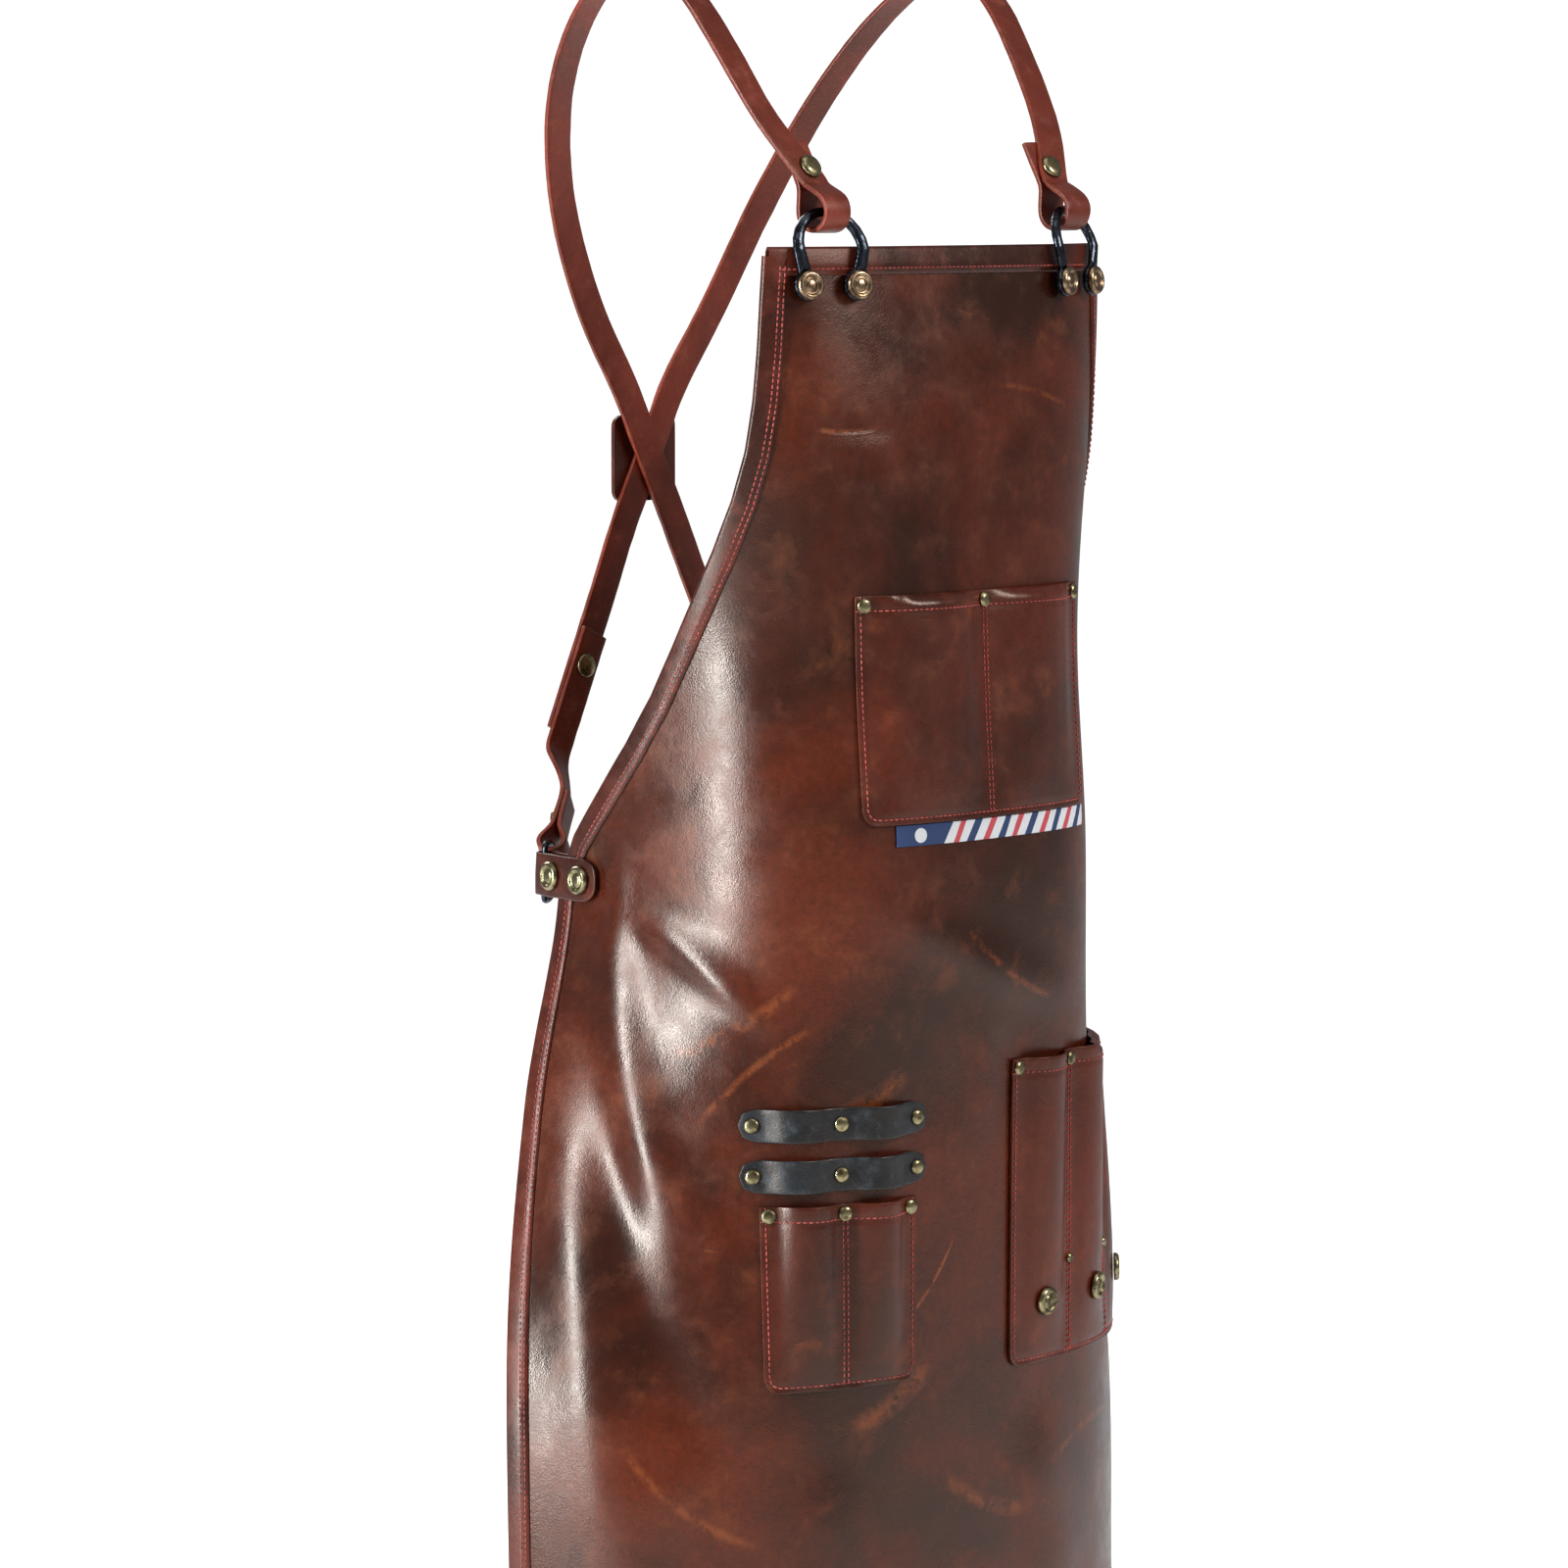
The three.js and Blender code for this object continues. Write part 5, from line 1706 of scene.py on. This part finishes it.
@dataclass
class Fittings:
    """Tool loops, waist tabs, bows, rings and all round heads."""

    finishes: Finishes

    def build(self) -> None:
        """Builds the fittings."""
        finishes = self.finishes
        strip = Carried(Softening(bevel=0.6 * MM))
        for which in ("upper", "lower"):
            node = f"tool_loop_{which}"
            strip.make(node, f"{node}_strip", finishes.loop, "apron", "black_leather")
        tab = Carried(Softening(bevel=0.7 * MM))
        for side in RIGHT_LEFT:
            node = f"waist_tab_{side}"
            tab.make(node, f"{node}_leather", finishes.binding, "apron", "strap_leather")
            wire = Softening(bevel=0.0, subdivide=2, wobble=0.0)
            ring = softened(f"waist_ring_{side}", f"waist_ring_{side}_wire", wire)
            dress(ring, finishes.black)
            settle(ring, f"ring_{side}", "black_metal", f"waist_ring_{side}")
            self._bow(side)
        log.info("loops, tabs, rings and bows made")
        nodes = list(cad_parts)
        rivets = sorted(n for n in nodes if "rivet" in n)
        studs = sorted(n for n in nodes if "stud" in n and "bow" not in n)
        bow_studs = sorted(n for n in nodes if "bow" in n and "stud" in n)
        heads = Heads()
        for key, group in self._by_radius(rivets).items():
            heads.make(f"rivets_{key}", HeadShape.RIVET, group, finishes.brass, "apron")
        heads.make("studs", HeadShape.STUD, studs, finishes.brass, "apron")
        heads.make("bow_studs", HeadShape.STUD, bow_studs, finishes.copper, "apron")
        for side in RIGHT_LEFT:
            tail = f"tail_{side}"
            caps = [f"strap_cap_{side}", f"splice_cap_{side}"]
            heads.make(f"strap_caps_{side}", HeadShape.CAP, caps, finishes.brass, "harness")
            caps = [f"back_strap_cap_{side}"]
            heads.make(f"back_cap_{side}", HeadShape.CAP, caps, finishes.brass, tail)
            bases = [f"splice_base_{side}"]
            heads.make(f"splice_base_{side}_plate", HeadShape.RIVET, bases, finishes.brass, tail)
        log.info("round heads made")

    @staticmethod
    def _by_radius(nodes: Sequence[str]) -> dict[str, list[str]]:
        """Groups heads by their radius in tenths of a millimetre."""
        groups: dict[str, list[str]] = defaultdict(list)
        for node in nodes:
            groups[str(round(Seat.of(node).radius / MM * 10))].append(node)
        return groups

    def _bow(self, side: str) -> None:
        """Builds one bow, a rounded black bar with an eye at each foot."""
        piece = merged_copy(f"bow_{side}", f"bow_{side}_bar")
        remesh = piece.modifiers.new("remesh", "REMESH")
        remesh.mode = "VOXEL"
        remesh.voxel_size = 0.7 * MM
        smooth = piece.modifiers.new("smooth", "SMOOTH")
        smooth.factor = 0.5
        smooth.iterations = 6
        finished(piece)
        piece.data.shade_smooth()
        dress(piece, self.finishes.black)
        settle(piece, "apron", "black_metal", f"bow_{side}")


@dataclass
class Harness:
    """The shoulder straps, back straps and the patch where they cross."""

    finishes: Finishes

    def build(self) -> None:
        """Builds the straps and the patch."""
        strap = Carried(Softening(bevel=0.7 * MM, wobble=0.2 * MM))
        for side in RIGHT_LEFT:
            for part, body in (("shoulder", "harness"), ("back", f"tail_{side}")):
                node = f"{part}_strap_{side}"
                strap.make(node, f"{node}_leather", self.finishes.strap, body, "strap_leather")
        patch = Carried(Softening(bevel=0.6 * MM, wobble=0.0))
        leather = self.finishes.binding
        patch.make("cross_patch", "cross_patch_leather", leather, "harness", "strap_leather")
        self._patch_seam(4 * MM, 4 * MM)
        log.info("straps made")

    def _patch_seam(self, inset: float, corner: float) -> None:
        """Sews round the patch's outer face.

        Args:
            inset: How far inside the patch's edge the seam runs.
            corner: The radius of its corners.
        """
        low, high = (np.array(end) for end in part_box("cross_patch"))
        middle, half = (low + high) / 2, (high - low) / 2 - inset - corner
        points = []
        for k, (x, z) in enumerate(((1, 1), (-1, 1), (-1, -1), (1, -1))):
            for turn in np.linspace(0, math.pi / 2, 5) + k * math.pi / 2:
                across = middle[0] + x * half[0] + corner * math.cos(turn)
                points.append((across, high[1], middle[2] + z * half[2] + corner * math.sin(turn)))
        out = np.tile((0.0, 1.0, 0.0), (len(points), 1))
        edges = [(k, (k + 1) % len(points)) for k in range(len(points))]
        line = places_mesh("patch_stitches", np.array(points), out, out, edges)
        shape = stitch_shape()
        rows = Scatter("patch_rows", along=True)
        seam = rows.spread("patch_stitches", line, shape, self.finishes.thread, 3.5 * MM)
        bpy.data.objects.remove(shape)
        settle(seam, "harness", "strap_leather")


# ---- Stage ----
@dataclass(frozen=True)
class Studio:
    """The floor, the lights and the camera."""

    floor: float = -1.32
    eye: tuple[float, float, float] = (-2.58184, -2.47572, -0.11923)
    back: tuple[float, float, float] = (-0.71573, -0.69117, 0.10012)
    lens: float = 139.2

    def camera(self) -> None:
        """Sets the camera."""
        data = bpy.data.cameras.new("camera")
        data.lens = self.lens
        data.sensor_width = 36
        data.clip_end = 50
        camera = bpy.data.objects.new("camera", data)
        camera.location = self.eye
        camera.rotation_euler = Vector(self.back).to_track_quat("Z", "Y").to_euler()
        bpy.context.scene.collection.objects.link(camera)
        bpy.context.scene.camera = camera

    def ground(self) -> None:
        """Makes the pale floor, a flat disc of 40 m radius."""
        made = bpy.data.materials.new("pale_floor")
        made.use_nodes = True
        shader = made.node_tree.nodes["Principled BSDF"]
        shader.inputs["Base Color"].default_value = (0.86, 0.86, 0.86, 1)
        shader.inputs["Roughness"].default_value = 0.9
        shader.inputs["Emission Color"].default_value = (1, 1, 1, 1)
        bench = NodeBench(made.node_tree)
        seen = bench.add("ShaderNodeLightPath").outputs["Is Camera Ray"]
        glow = bench.add("ShaderNodeMapRange", {0: seen, 1: 0.0, 2: 1.0, 3: 0.15, 4: 0.86}).outputs[0]
        made.node_tree.links.new(glow, shader.inputs["Emission Strength"])
        turn = np.linspace(0, 2 * math.pi, 64, endpoint=False)
        points = [(0.0, 0.0, self.floor)]
        points += [(40 * math.cos(t), 40 * math.sin(t), self.floor) for t in turn]
        faces = [(0, 1 + k, 1 + (k + 1) % 64) for k in range(64)]
        floor = mesh_object("floor", np.array(points), faces)
        dress(floor, made)

    def lights(self) -> None:
        """Makes a white surround and soft area lights."""
        world = bpy.data.worlds.new("surround")
        world.use_nodes = True
        tree = world.node_tree
        bench = NodeBench(tree)
        seen = bench.add("ShaderNodeLightPath").outputs["Is Camera Ray"]
        strength = bench.add("ShaderNodeMapRange", {0: seen, 1: 0.0, 2: 1.0, 3: 0.2, 4: 1.15}).outputs[0]
        ground = tree.nodes["Background"]
        ground.inputs["Color"].default_value = (1, 1, 1, 1)
        tree.links.new(strength, ground.inputs["Strength"])
        bpy.context.scene.world = world
        self._area("key", (1.1, -3.0, 1.3), (0.0, -0.1, -0.5), (1.3, 1.1), 78)
        self._area("strip", (-3.2, 0.5, 0.0), (-0.25, -0.05, -0.7), (0.36, 2.4), 180, (0.8, 0.92, 1.0))
        self._area("rim", (0.6, 3.0, 1.4), (0.0, 0.1, -0.4), (1.6, 1.6), 60)
        self._area("top", (-0.6, -0.8, 2.6), (-0.2, -0.4, -1.3), (3.0, 3.0), 34)

    @staticmethod
    def _area(
        name: str,
        at: Sequence[float],
        to: Sequence[float],
        size: Place,
        power: float,
        tint: Color = (1, 1, 1),
    ) -> None:
        """Makes one area light.

        Args:
            name: The light's name.
            at: Where it stands.
            to: The place that it faces.
            size: Its width and height.
            power: Its power in watts.
            tint: Its colour.
        """
        data = bpy.data.lights.new(name, "AREA")
        data.shape = "RECTANGLE"
        data.size, data.size_y = size
        data.energy = power
        data.color = tint
        light = bpy.data.objects.new(name, data)
        light.location = at
        light.rotation_euler = (Vector(at) - Vector(to)).to_track_quat("Z", "Y").to_euler()
        bpy.context.scene.collection.objects.link(light)

    def build(self) -> None:
        """Builds the stage."""
        self.camera()
        self.ground()
        self.lights()
        bpy.context.scene.view_settings.view_transform = "Standard"


def main() -> None:
    """Builds the whole scene."""
    logging.basicConfig(level=logging.INFO, format="%(message)s")
    Studio().build()
    finishes = Finishes.build()
    Apron(Drape("apron_panel"), finishes).build()
    Fittings(finishes).build()
    Harness(finishes).build()


if __name__ == "__main__":
    main()
